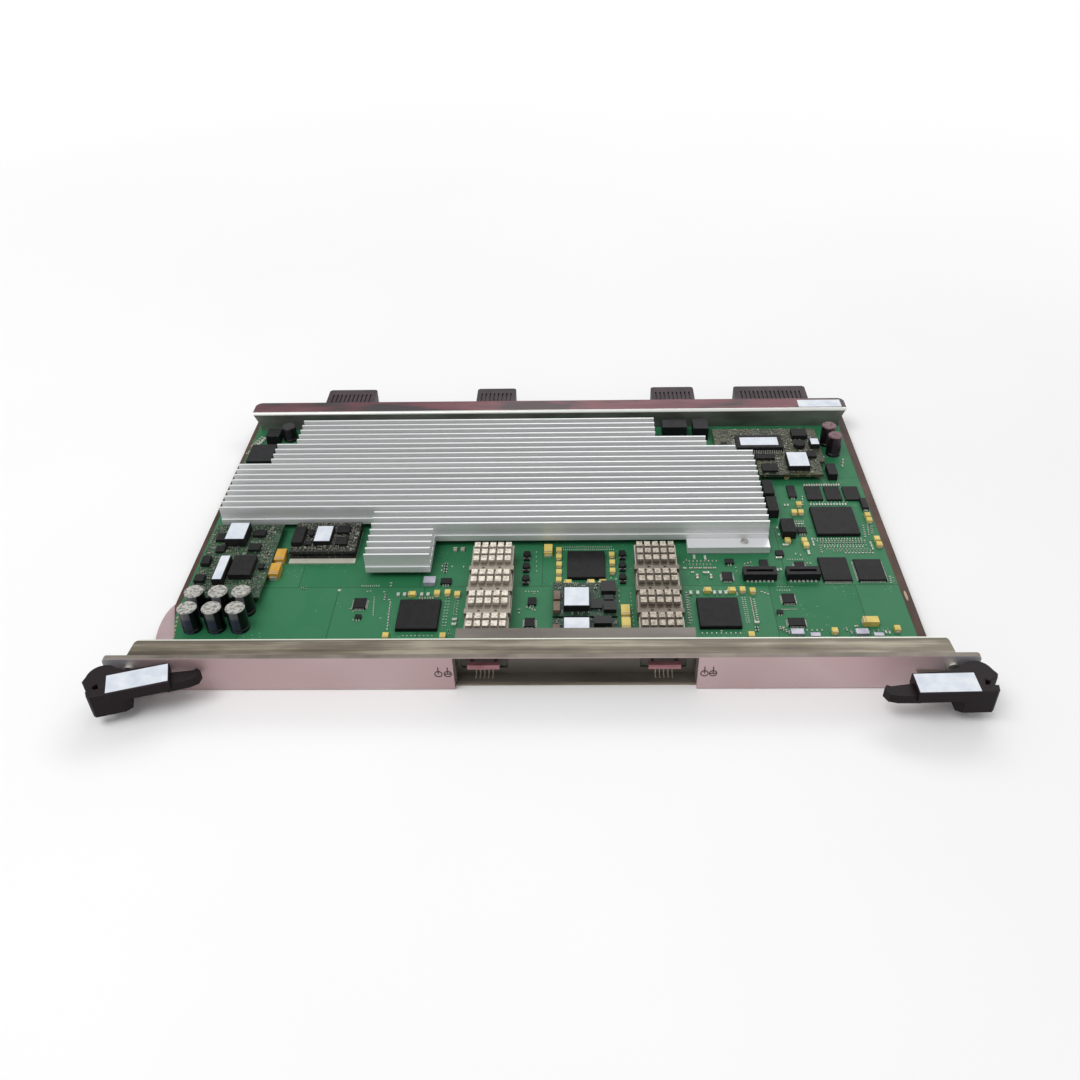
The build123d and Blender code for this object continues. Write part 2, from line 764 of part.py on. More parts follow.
# Backplane connectors: housings that overhang the board, with wafer slots in the mating face
connector_front_y = board_rear_y - connector_inside_reach
connector_rear_y = board_rear_y + connector_overhang
for name, (left, right) in zip(connector_names, connector_spans):
    with BuildPart() as connector:
        middle_x = (left + right) / 2
        width = right - left
        with BuildSketch(Plane.YZ.offset(left)):
            with BuildLine():
                Polyline(
                    (connector_front_y, board_top_z),
                    (board_rear_y + seat_gap, board_top_z),
                    (board_rear_y + seat_gap, board_top_z - connector_drop),
                    (connector_rear_y, board_top_z - connector_drop),
                    (connector_rear_y, connector_top_z),
                    (connector_front_y, connector_top_z),
                    close=True,
                )
            make_face()
        extrude(amount=width)
        rear_corners = connector.edges().filter_by(Axis.Z).group_by(Axis.Y)[-1]
        fillet(rear_corners, connector_corner_radius)
        wafer_count = int((width - 2 * wafer_margin) / wafer_pitch)
        wafer_z = (board_top_z + connector_top_z) / 2
        with Locations((middle_x, connector_rear_y - wafer_slot_depth / 2, wafer_z)):
            with GridLocations(wafer_pitch, wafer_pitch, wafer_count, 1):
                slot_height = connector_top_z - board_top_z - 2 * wafer_margin
                Box(wafer_slot_width, wafer_slot_depth, slot_height, mode=Mode.SUBTRACT)
        groove_length = connector_overhang - wafer_slot_depth
        groove_y = board_rear_y + groove_length / 2
        with Locations((middle_x, groove_y, connector_top_z - wafer_groove_depth / 2)):
            with GridLocations(wafer_pitch, wafer_pitch, wafer_count, 1):
                Box(wafer_slot_width, groove_length - wafer_margin, wafer_groove_depth, mode=Mode.SUBTRACT)
    write(connector, f"{name}_backplane_connector")

# Captive screws: slotted heads in front of the panel, and collars on their shafts behind it
for side, direction in (("left", -1), ("right", 1)):
    screw_x = direction * captive_x
    with BuildPart() as captive_screw:
        with BuildSketch(Plane.XZ.offset(-panel_front_y)):
            with Locations((screw_x, captive_z)):
                Circle(captive_head_radius)
        extrude(amount=captive_head_length)
        chamfer(captive_screw.faces().sort_by(Axis.Y)[0].edges(), captive_edge_break)
        slot_y = panel_front_y - captive_head_length + captive_slot_depth / 2
        with Locations((screw_x, slot_y, captive_z)):
            Box(2 * captive_head_radius, captive_slot_depth, captive_slot_width, mode=Mode.SUBTRACT)
        with BuildSketch(Plane.XZ.offset(-panel_front_y)):
            with Locations((screw_x, captive_z)):
                Circle(captive_shaft_radius)
        extrude(amount=-(panel_thickness + captive_tip_reach))
        chamfer(captive_screw.faces().sort_by(Axis.Y)[-1].edges(), captive_edge_break)
        with BuildSketch(Plane.XZ.offset(-(panel_back_y + seat_gap))):
            with Locations((screw_x, captive_z)):
                Circle(collar_radius)
        extrude(amount=-collar_thickness)
    write(captive_screw, f"{side}_captive_screw")

# Levers with their pins, brackets and labels. Places in a lever's plane are from its pivot.
pivot_y = panel_front_y - pivot_reach


def lever_plane(direction, rest_deg, height):
    """The plane of a lever section at a height, turned to the lever's place at rest."""
    turned = Plane.XY.rotated((0, 0, rest_deg))
    return Plane(
        origin=(direction * pivot_x, pivot_y, height),
        x_dir=turned.x_dir,
        z_dir=(0, 0, 1),
    )


def lever_outline(direction, points):
    """Mirror the right lever's outline for the left one."""
    return [(direction * x, y) for x, y in points]


claw_rear = [(-8.0, 4.4), (-3.2, 6.9)]
claw_hump = [(-3.2, 6.9), (3.2, 10.0), (9.6, 4.8)]
claw_jaw = [
    (9.6, 4.8),
    (11.2, 1.6),
    (10.2, -0.8),
    (6.6, -2.6),
    (4.6, -1.6),
    (3.6, -4.6),
    (9.4, -5.0),
    (8.8, -8.2),
    (7.6, -9.3),
    (-5.0, -9.3),
    (-8.0, -7.6),
    (-8.0, 4.4),
]
pad_points = [(-26.1, 3.0), (-8.0, 4.4), (-5.0, -9.3), (-26.1, -9.5)]
hook_points = [
    (-24.0, 0.0),
    (-36.0, -1.6),
    (-37.6, -0.6),
    (-39.2, -3.0),
    (-37.6, -6.4),
    (-33.6, -7.5),
    (-24.0, -7.8),
]
for side, direction, rest_deg in (("left", -1, left_lever_rest_deg), ("right", 1, right_lever_rest_deg)):
    with BuildPart() as lever:
        with BuildSketch(lever_plane(direction, rest_deg, claw_bottom_z)):
            with BuildLine():
                Polyline(*lever_outline(direction, claw_rear))
                ThreePointArc(*lever_outline(direction, claw_hump))
                Polyline(*lever_outline(direction, claw_jaw))
            make_face()
        extrude(amount=lever_top_z - claw_bottom_z)
        with BuildSketch(lever_plane(direction, rest_deg, pad_bottom_z)):
            with BuildLine():
                Polyline(*lever_outline(direction, pad_points), close=True)
            make_face()
        extrude(amount=lever_top_z - pad_bottom_z)
        with BuildSketch(lever_plane(direction, rest_deg, hook_bottom_z)):
            with BuildLine():
                Polyline(*lever_outline(direction, hook_points), close=True)
            make_face()
        extrude(amount=hook_top_z - hook_bottom_z)
        top_face = lever.faces().sort_by(Axis.Z)[-1]
        chamfer(top_face.outer_wire().edges(), lever_edge_break)
        slot_plane = lever_plane(direction, rest_deg, tongue_bottom_z - tongue_play)
        with BuildSketch(slot_plane):
            with Locations((0, lever_slot_span / 2 - pivot_slot_front)):
                Rectangle(lever_slot_span, lever_slot_span)
        extrude(amount=tongue_thickness + 2 * tongue_play, mode=Mode.SUBTRACT)
        with BuildSketch(lever_plane(direction, rest_deg, claw_bottom_z)):
            Circle(pivot_pin_radius + pivot_clearance)
        extrude(amount=pivot_pin_top_z + seat_gap - claw_bottom_z, mode=Mode.SUBTRACT)
    write(lever, f"{side}_lever")

    with BuildPart() as lever_bracket:
        plate_width = bracket_outer_x - bracket_inner_x
        plate_height = tongue_bottom_z + tongue_thickness - bracket_bottom_z
        plate_x = direction * (bracket_inner_x + bracket_outer_x) / 2
        with Locations((plate_x, panel_front_y - bracket_gauge / 2, bracket_bottom_z)):
            Box(plate_width, bracket_gauge, plate_height, align=upward)
        with BuildSketch(Plane.XY.offset(tongue_bottom_z)):
            with BuildLine():
                Polyline(
                    (direction * (bracket_inner_x + plate_width / 2), panel_front_y - bracket_gauge / 2),
                    (direction * bracket_outer_x, panel_front_y - bracket_gauge / 2),
                    (direction * (pivot_x + eye_radius), pivot_y),
                    (direction * (pivot_x - eye_radius), pivot_y),
                    close=True,
                )
            make_face()
            with Locations((direction * pivot_x, pivot_y)):
                Circle(eye_radius)
        extrude(amount=tongue_thickness)
        with Locations((direction * pivot_x, pivot_y, pivot_pin_bottom_z)):
            Cylinder(pivot_pin_radius, pivot_pin_top_z - pivot_pin_bottom_z, align=upward)
    write(lever_bracket, f"{side}_lever_bracket")

    with BuildPart() as lever_label:
        with BuildSketch(lever_plane(direction, rest_deg, lever_top_z)):
            with Locations((direction * lever_label_x, lever_label_y)):
                Rectangle(lever_label_length, lever_label_width)
        extrude(amount=label_thickness)
    write(lever_label, f"{side}_lever_label")


def can_profile(radius, height):
    """Half the section of an electrolytic capacitor, with its crimp and its broken top edge."""
    return [
        (0, 0),
        (radius, 0),
        (radius, can_groove_rise),
        (radius - can_groove_depth, can_groove_rise + can_groove_width / 2),
        (radius, can_groove_rise + can_groove_width),
        (radius, height - can_edge_break),
        (radius - can_edge_break, height),
        (0, height),
    ]


# Electrolytic capacitors: six at the front left, two at the rear right and a low one at the rear left
bulk_sites = [on_board(x, reach) for x in bulk_columns_x for reach in bulk_rows_y]
rear_sites = [(*on_board(x, reach), rear_cap_height) for x, reach in rear_cap_sites]
rear_sites.append((*on_board(*low_cap_site), low_cap_height))
can_groups = (
    ("bulk_capacitors", [(*site, bulk_height) for site in bulk_sites], bulk_radius),
    ("rear_capacitors", rear_sites, rear_cap_radius),
)
for label, sites, radius in can_groups:
    with BuildPart() as cans:
        for *site, height in sites:
            with BuildSketch(Plane(tuple(site), x_dir=(1, 0, 0), z_dir=(0, -1, 0))):
                with BuildLine():
                    Polyline(*can_profile(radius, height), close=True)
                make_face()
            revolve(axis=Axis(tuple(site), (0, 0, 1)))
    write(cans, label)

# Tantalum capacitors: (x, distance behind the panel, 1 when the long side runs along X)
case_b = (3.5, 2.8, 1.9)
case_d = (7.3, 4.3, 2.9)
case_e = (9.0, 5.2, 3.8)
small_tantalum_sites = (
    (8.3, 93.7, 0), (8.3, 88.2, 0), (8.5, 81.8, 0), (8.5, 75.6, 0), (8.5, 69.5, 0),
    (35.9, 89.6, 0), (36.0, 83.2, 0), (36.0, 76.5, 0), (13.2, 67.8, 1), (24.8, 67.8, 1),
    (30.8, 67.8, 1), (-65.0, 59.4, 1), (-52.5, 59.8, 0), (-47.2, 60.2, 0), (-42.2, 58.9, 0),
    (-74.1, 28.9, 0), (-46.6, 28.6, 0), (83.0, 61.3, 1), (95.1, 61.3, 1), (100.5, 61.3, 0),
    (105.4, 60.4, 0), (100.7, 28.6, 0), (138.0, 161.0, 0), (140.6, 133.2, 0), (136.8, 125.9, 0),
    (140.4, 125.9, 0), (138.0, 100.8, 0), (138.4, 96.9, 0), (129.3, 100.9, 0), (176.0, 122.8, 0),
    (176.0, 118.4, 0), (176.4, 101.9, 0), (176.6, 97.1, 0), (140.5, 31.1, 0), (170.4, 32.5, 0),
)
middle_tantalum_sites = ((2.7, 93.2, 0), (41.4, 45.2, 0), (41.4, 35.9, 0), (158.8, 37.4, 1))
large_tantalum_sites = ((-137.6, 88.6, 0), (-138.0, 76.8, 0))
tantalum_groups = (
    (small_tantalum_sites, case_b),
    (middle_tantalum_sites, case_d),
    (large_tantalum_sites, case_e),
)
with BuildPart() as tantalums:
    for sites, (length, width, height) in tantalum_groups:
        for x, reach, along_x in sites:
            with Locations(on_board(x, reach)):
                if along_x:
                    Box(length, width, height, align=upward)
                else:
                    Box(width, length, height, align=upward)
write(tantalums, "tantalum_capacitors")

# Large chips: (x, distance behind the panel, size along X, size along Y, height)
chip_edge_break = 0.3
large_chips = {
    "framer_chips": ((-59.9, 43.6, 20.4, 21.4, 2.3), (86.8, 44.1, 20.2, 21.0, 2.3)),
    "centre_chip": ((22.5, 81.3, 19.4, 21.4, 2.2),),
    "control_processor": ((157.0, 117.4, 23.0, 24.4, 2.2),),
    "flash_chips": ((149.4, 77.2, 14.6, 18.4, 1.6), (167.0, 76.4, 14.0, 16.6, 1.6)),
}
for label, places in large_chips.items():
    with BuildPart() as chips:
        for x, reach, length, width, height in places:
            with Locations(on_board(x, reach)):
                Box(length, width, height, align=upward)
        top_faces = chips.faces().group_by(Axis.Z)[-1]
        chamfer([edge for face in top_faces for edge in face.edges()], chip_edge_break)
    write(chips, label)

# Memory chips in a row
memory_size = (8.6, 12.6, 1.2)
memory_sites = ((150.6, 144.0), (161.2, 143.8), (171.6, 143.7))
with BuildPart() as memory_chips:
    with Locations([on_board(x, reach) for x, reach in memory_sites]):
        Box(*memory_size, align=upward)
write(memory_chips, "memory_chips")

# Small chips: (x, distance behind the panel, size along X, size along Y)
small_chip_height = 1.4
small_chips_places = (
    (-90.3, 52.6, 6.2, 7.2),
    (-89.6, 42.9, 3.0, 2.6),
    (-48.9, 69.3, 5.4, 4.2),
    (-4.6, 53.6, 4.2, 5.2),
    (-5.2, 38.0, 5.0, 6.0),
    (94.1, 72.0, 5.2, 6.2),
    (114.0, 82.0, 4.2, 5.8),
    (132.1, 80.5, 5.0, 5.4),
    (96.5, 84.0, 4.4, 3.4),
    (123.4, 90.5, 4.0, 4.2),
    (122.3, 54.8, 6.0, 6.6),
    (116.6, 45.0, 2.8, 2.4),
    (123.5, 37.6, 8.0, 5.4),
    (138.2, 109.9, 4.6, 4.6),
    (138.5, 145.7, 4.4, 11.0),
)
with BuildPart() as small_chips:
    for x, reach, length, width in small_chips_places:
        with Locations(on_board(x, reach)):
            Box(length, width, small_chip_height, align=upward)
write(small_chips, "small_chips")

# Mezzanine sockets near the right front
socket_size = (16.8, 6.4, 4.4)
socket_slot = (13.6, 1.8, 2.4)
socket_sites = ((110.4, 72.5), (132.2, 72.5))
with BuildPart() as board_sockets:
    with Locations([on_board(x, reach) for x, reach in socket_sites]):
        Box(*socket_size, align=upward)
    slot_rise = socket_size[2] - socket_slot[2]
    with Locations([on_board(x, reach, slot_rise) for x, reach in socket_sites]):
        Box(*socket_slot, align=upward, mode=Mode.SUBTRACT)
write(board_sockets, "board_sockets")

# Power inductors beside the main heat sink: (x, distance behind the panel, length, width, height)
power_inductor_places = (
    (124.8, 144.5, 5.6, 13.0, 5.4),
    (124.8, 128.5, 5.6, 13.0, 5.4),
    (130.5, 109.5, 7.2, 11.6, 5.0),
)
with BuildPart() as power_inductors:
    for x, reach, length, width, height in power_inductor_places:
        with Locations(on_board(x, reach)):
            Box(length, width, height, align=upward)
write(power_inductors, "power_inductors")

# Round filter inductors between the cages, each between two end blocks
filter_radius = 1.9
filter_height = 2.4
filter_end_size = (3.0, 1.3, 1.2)
filter_end_pitch = 6.0
filter_sites = ((-8.4, 89.6), (-8.4, 80.1), (-8.3, 70.2), (41.4, 89.8), (41.2, 80.5), (41.0, 70.9))
with BuildPart() as filter_inductors:
    for x, reach in filter_sites:
        with Locations(on_board(x, reach)):
            Cylinder(filter_radius, filter_height, align=upward)
            with GridLocations(filter_end_pitch, filter_end_pitch, 1, 2):
                Box(*filter_end_size, align=upward)
write(filter_inductors, "filter_inductors")

# Crystal cans: (x, distance behind the panel, size along X, size along Y, height)
crystal_places = (
    (-57.2, 69.1, 6.0, 5.0, 2.4),
    (122.7, 30.4, 6.0, 3.6, 1.8),
    (131.0, 28.9, 4.6, 2.4, 1.2),
    (153.3, 30.3, 6.0, 3.6, 1.8),
    (160.9, 28.8, 4.6, 2.2, 1.2),
)
with BuildPart() as crystal_cans:
    for x, reach, length, width, height in crystal_places:
        with Locations(on_board(x, reach)):
            Box(length, width, height, align=upward)
write(crystal_cans, "crystal_cans")


def post_sites(left, right, front, rear, inset):
    """The corners of a module board, set in by a margin, on the main board."""
    return [
        on_board(x, reach)
        for x in (left + inset, right - inset)
        for reach in (front + inset, rear - inset)
    ]


# Left power module: its board on four posts
left_module_middle_x = (left_module_left_x + left_module_right_x) / 2
left_module_length = left_module_right_x - left_module_left_x
left_module_depth = left_module_rear_y - left_module_front_y
left_module_middle_y = from_panel((left_module_front_y + left_module_rear_y) / 2)
left_module_top_z = left_module_board_z + module_board_thickness
with BuildPart() as left_module_board:
    with Locations((left_module_middle_x, left_module_middle_y, left_module_board_z)):
        Box(left_module_length, left_module_depth, module_board_thickness, align=upward)
    corners = post_sites(
        left_module_left_x,
        left_module_right_x,
        left_module_front_y,
        left_module_rear_y,
        module_post_inset,
    )
    with Locations(corners):
        Cylinder(module_post_radius, left_module_board_z - board_top_z, align=upward)
write(left_module_board, "left_module_board")

# Parts on the left module: (x, distance behind the panel, length, width, height)
left_module_parts = (
    (-162.4, 101.4, 10.6, 14.6, 5.0),
    (-163.5, 72.3, 5.4, 19.4, 4.0),
    (-153.5, 75.1, 11.4, 15.8, 3.2),
    (-171.7, 101.0, 4.6, 5.8, 1.6),
    (-169.4, 91.1, 4.6, 5.0, 1.4),
    (-151.8, 104.0, 6.4, 4.6, 1.6),
    (-151.7, 92.5, 6.0, 5.4, 1.4),
    (-174.1, 80.6, 4.4, 6.4, 2.4),
    (-173.6, 66.8, 5.0, 5.0, 2.0),
    (-144.4, 76.3, 2.8, 3.6, 1.6),
)
with BuildPart() as left_module_cores:
    for x, reach, length, width, height in left_module_parts:
        with Locations((x, from_panel(reach), left_module_top_z)):
            Box(length, width, height, align=upward)
write(left_module_cores, "left_module_cores")


def label_on(block, margin, seat_z):
    """A bare label on a block's top face: its middle, its size and the face's height."""
    x, reach, length, width, height = block
    return x, reach, length - margin, width - margin, seat_z + height


module_labels = [label_on(block, label_margin, left_module_top_z) for block in left_module_parts[:2]]

# Converter brick: foot pad, lower board, core and upper board
brick_middle_x = (brick_left_x + brick_right_x) / 2
brick_length = brick_right_x - brick_left_x
brick_depth = brick_rear_y - brick_front_y
brick_middle_y = from_panel((brick_front_y + brick_rear_y) / 2)
with BuildPart() as brick_pad:
    with Locations((brick_middle_x, brick_middle_y - brick_pad_lip / 2, board_top_z)):
        Box(brick_length, brick_depth + brick_pad_lip, brick_pad_thickness, align=upward)
write(brick_pad, "brick_pad")

brick_lower_z = board_top_z + brick_pad_thickness
brick_core_z = brick_lower_z + module_board_thickness
brick_upper_z = brick_core_z + brick_core_height
brick_core_inset = 1.2
with BuildPart() as brick_boards:
    with Locations((brick_middle_x, brick_middle_y, brick_lower_z)):
        Box(brick_length, brick_depth, module_board_thickness, align=upward)
    with Locations((brick_middle_x, brick_middle_y, brick_core_z)):
        Box(
            brick_length - 2 * brick_core_inset,
            brick_depth - 2 * brick_core_inset,
            brick_core_height,
            align=upward,
        )
    with Locations((brick_middle_x, brick_middle_y, brick_upper_z)):
        Box(brick_length, brick_depth, module_board_thickness, align=upward)
write(brick_boards, "brick_boards")

brick_top_z = brick_upper_z + module_board_thickness
brick_parts = (
    (-116.4, 100.5, 9.0, 13.6, 2.6),
    (-129.6, 100.1, 5.8, 14.0, 2.6),
    (-106.9, 106.1, 6.6, 6.0, 1.4),
    (-106.4, 96.4, 6.2, 6.4, 1.2),
    (-123.7, 103.3, 2.4, 4.6, 1.2),
    (-123.8, 94.8, 3.4, 3.4, 1.2),
)
with BuildPart() as brick_cores:
    for x, reach, length, width, height in brick_parts:
        with Locations((x, from_panel(reach), brick_top_z)):
            Box(length, width, height, align=upward)
write(brick_cores, "brick_cores")
module_labels.append(label_on(brick_parts[0], label_margin, brick_top_z))

# Rear right power module: a winged board on posts, its blocks and a round inductor
right_module_top_z = right_module_board_z + module_board_thickness
with BuildPart() as right_module_board:
    with BuildSketch(Plane.XY.offset(right_module_board_z)):
        with BuildLine():
            Polyline(
                (right_module_left_x, from_panel(right_module_front_y)),
                (right_module_right_x, from_panel(right_module_front_y)),
                (right_module_right_x, from_panel(right_wing_right_front_y)),
                (right_wing_right_x, from_panel(right_wing_right_front_y)),
                (right_wing_right_x, from_panel(right_module_rear_y)),
                (right_wing_left_x, from_panel(right_module_rear_y)),
                (right_wing_left_x, from_panel(right_wing_left_front_y)),
                (right_module_left_x, from_panel(right_wing_left_front_y)),
                close=True,
            )
        make_face()
    extrude(amount=module_board_thickness)
    corners = post_sites(
        right_module_left_x,
        right_module_right_x,
        right_module_front_y,
        right_module_rear_y,
        module_post_inset,
    )
    with Locations(corners):
        Cylinder(module_post_radius, right_module_board_z - board_top_z, align=upward)
write(right_module_board, "right_module_board")

right_module_parts = (
    (125.2, 187.0, 27.0, 13.2, 3.5),
    (145.1, 168.3, 12.2, 14.8, 3.2),
    (158.0, 187.2, 5.4, 6.8, 3.0),
    (127.4, 174.6, 10.6, 5.0, 1.4),
    (150.6, 198.0, 9.0, 8.0, 2.8),
    (128.4, 163.2, 9.0, 7.4, 1.4),
    (105.0, 185.6, 3.6, 7.0, 1.8),
    (154.6, 176.6, 5.0, 6.2, 1.6),
)
right_inductor_radius = 3.3
right_inductor_height = 2.6
right_inductor_site = (149.2, 186.6)
with BuildPart() as right_module_cores:
    for x, reach, length, width, height in right_module_parts:
        with Locations((x, from_panel(reach), right_module_top_z)):
            Box(length, width, height, align=upward)
    with Locations((right_inductor_site[0], from_panel(right_inductor_site[1]), right_module_top_z)):
        Cylinder(right_inductor_radius, right_inductor_height, align=upward)
write(right_module_cores, "right_module_cores")
long_block = right_module_parts[0]
long_label = label_on(long_block, narrow_label_margin, right_module_top_z)
module_labels.append(long_label)
module_labels += [label_on(block, label_margin, right_module_top_z) for block in right_module_parts[1:3]]

# Middle regulator modules: each board on posts, with a labelled block, chokes and chips
middle_module_length = middle_module_right_x - middle_module_left_x
middle_module_middle_x = (middle_module_left_x + middle_module_right_x) / 2
middle_module_top_z = middle_module_board_z + middle_module_board_thickness
with BuildPart() as middle_module_board:
    for front, rear in middle_module_spans:
        with Locations((middle_module_middle_x, from_panel((front + rear) / 2), middle_module_board_z)):
            Box(middle_module_length, rear - front, middle_module_board_thickness, align=upward)
        corners = post_sites(
            middle_module_left_x,
            middle_module_right_x,
            front,
            rear,
            module_post_inset,
        )
        with Locations(corners):
            Cylinder(module_post_radius, middle_module_board_z - board_top_z, align=upward)
write(middle_module_board, "middle_module_board")

middle_module_parts = (
    (17.6, 51.4, 12.8, 14.2, 3.6),
    (17.6, 29.4, 12.8, 13.8, 3.6),
    (33.4, 60.6, 7.2, 8.0, 2.6),
    (33.8, 46.2, 6.2, 6.4, 2.4),
    (33.4, 52.8, 4.6, 3.4, 1.8),
    (27.2, 48.8, 5.6, 6.4, 1.2),
    (7.9, 54.4, 3.4, 6.2, 2.0),
    (7.9, 46.4, 3.4, 6.8, 2.0),
    (30.2, 35.8, 8.4, 5.4, 2.6),
    (7.9, 30.0, 3.4, 6.4, 2.0),
    (33.8, 26.6, 6.0, 6.4, 2.4),
)
with BuildPart() as middle_module_cores:
    for x, reach, length, width, height in middle_module_parts:
        with Locations((x, from_panel(reach), middle_module_top_z)):
            Box(length, width, height, align=upward)
write(middle_module_cores, "middle_module_cores")
module_labels += [label_on(block, label_margin, middle_module_top_z) for block in middle_module_parts[:2]]

# Bare labels on the modules and on the rear stiffener
with BuildPart() as bare_labels:
    for x, reach, length, width, face_z in module_labels:
        with Locations((x, from_panel(reach), face_z)):
            Box(length, width, label_thickness, align=upward)
    stiffener_label_x = stiffener_right_x - stiffener_label_inset
    with Locations((stiffener_label_x, (flange_front_y + flange_rear_y) / 2, stiffener_top_z)):
        Box(stiffener_label_length, stiffener_label_width, label_thickness, align=upward)
write(bare_labels, "board_labels")

# Filter blocks at the rear left, a relay pair behind the heat sink and a choke by the right module
rear_block_places = (
    (-167.4, 205.0, 8.0, 9.0, 5.6),
    (-168.6, 180.0, 14.6, 18.0, 7.4),
    (77.0, 207.8, 14.6, 9.0, 8.0),
    (92.6, 206.6, 9.0, 11.0, 8.4),
    (164.0, 163.0, 5.0, 11.0, 4.4),
)
with BuildPart() as rear_blocks:
    for x, reach, length, width, height in rear_block_places:
        with Locations(on_board(x, reach)):
            Box(length, width, height, align=upward)
write(rear_blocks, "rear_blocks")
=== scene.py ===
"""Looks of the ethernet interface board: finishes of the CAD nodes, and the small parts on them.

Lengths are written in millimetres and turned into metres where a mesh is made.
X runs along the panel, Y from the panel to the rear connectors, Z up from the bench.
"""
import math
import random

import bmesh
import bpy
from mathutils import Matrix, Vector


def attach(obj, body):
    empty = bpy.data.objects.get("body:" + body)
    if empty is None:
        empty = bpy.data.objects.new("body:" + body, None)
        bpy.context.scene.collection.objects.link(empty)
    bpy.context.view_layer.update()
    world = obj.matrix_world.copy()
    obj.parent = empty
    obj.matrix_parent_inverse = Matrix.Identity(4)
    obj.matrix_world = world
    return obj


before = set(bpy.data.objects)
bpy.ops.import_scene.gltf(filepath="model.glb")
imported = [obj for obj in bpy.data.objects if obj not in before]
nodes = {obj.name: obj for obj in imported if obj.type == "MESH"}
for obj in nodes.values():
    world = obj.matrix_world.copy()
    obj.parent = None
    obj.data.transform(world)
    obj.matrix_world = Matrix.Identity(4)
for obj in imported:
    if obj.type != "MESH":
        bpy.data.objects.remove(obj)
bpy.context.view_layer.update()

MM = 0.001
PANEL_FRONT = -113.0
BOARD_TOP = 5.5
LEFT_MODULE_TOP = 10.0
BRICK_TOP = 10.9
RIGHT_MODULE_TOP = 10.0
MIDDLE_MODULE_TOP = 7.9
LEFT_STRIP_EDGE = -180.8
RIGHT_STRIP_EDGE = 178.8
FIN_TOP = 19.2
PULL_BAR_REAR = -105.8
seeded = random.Random(7)


def linear(red, green, blue):
    """A display colour from 0 to 255 as the linear colour that a shader takes."""
    levels = []
    for level in (red, green, blue):
        share = level / 255
        levels.append(share / 12.92 if share <= 0.04045 else ((share + 0.055) / 1.055) ** 2.4)
    return (*levels, 1.0)


def reach(distance):
    """The Y of a place given by its distance behind the panel's front face."""
    return PANEL_FRONT + distance


# Places of the CAD solids
def solid_boxes(name):
    """The lowest and highest corner of each separate solid of a node, in millimetres."""
    mesh = nodes[name].data
    parent = list(range(len(mesh.vertices)))

    def root(index):
        while parent[index] != index:
            parent[index] = parent[parent[index]]
            index = parent[index]
        return index

    merged = {}
    for vertex in mesh.vertices:
        key = tuple(round(value, 5) for value in vertex.co)
        parent[vertex.index] = root(merged.setdefault(key, vertex.index))
    for edge in mesh.edges:
        first, second = (root(index) for index in edge.vertices)
        parent[first] = second
    boxes = {}
    for vertex in mesh.vertices:
        place = [value / MM for value in vertex.co]
        low, high = boxes.setdefault(root(vertex.index), (list(place), list(place)))
        for axis in range(3):
            low[axis] = min(low[axis], place[axis])
            high[axis] = max(high[axis], place[axis])
    return list(boxes.values())


def whole_box(name):
    """The lowest and highest corner of a whole node, in millimetres."""
    places = [vertex.co / MM for vertex in nodes[name].data.vertices]
    return [[pick(place[axis] for place in places) for axis in range(3)] for pick in (min, max)]


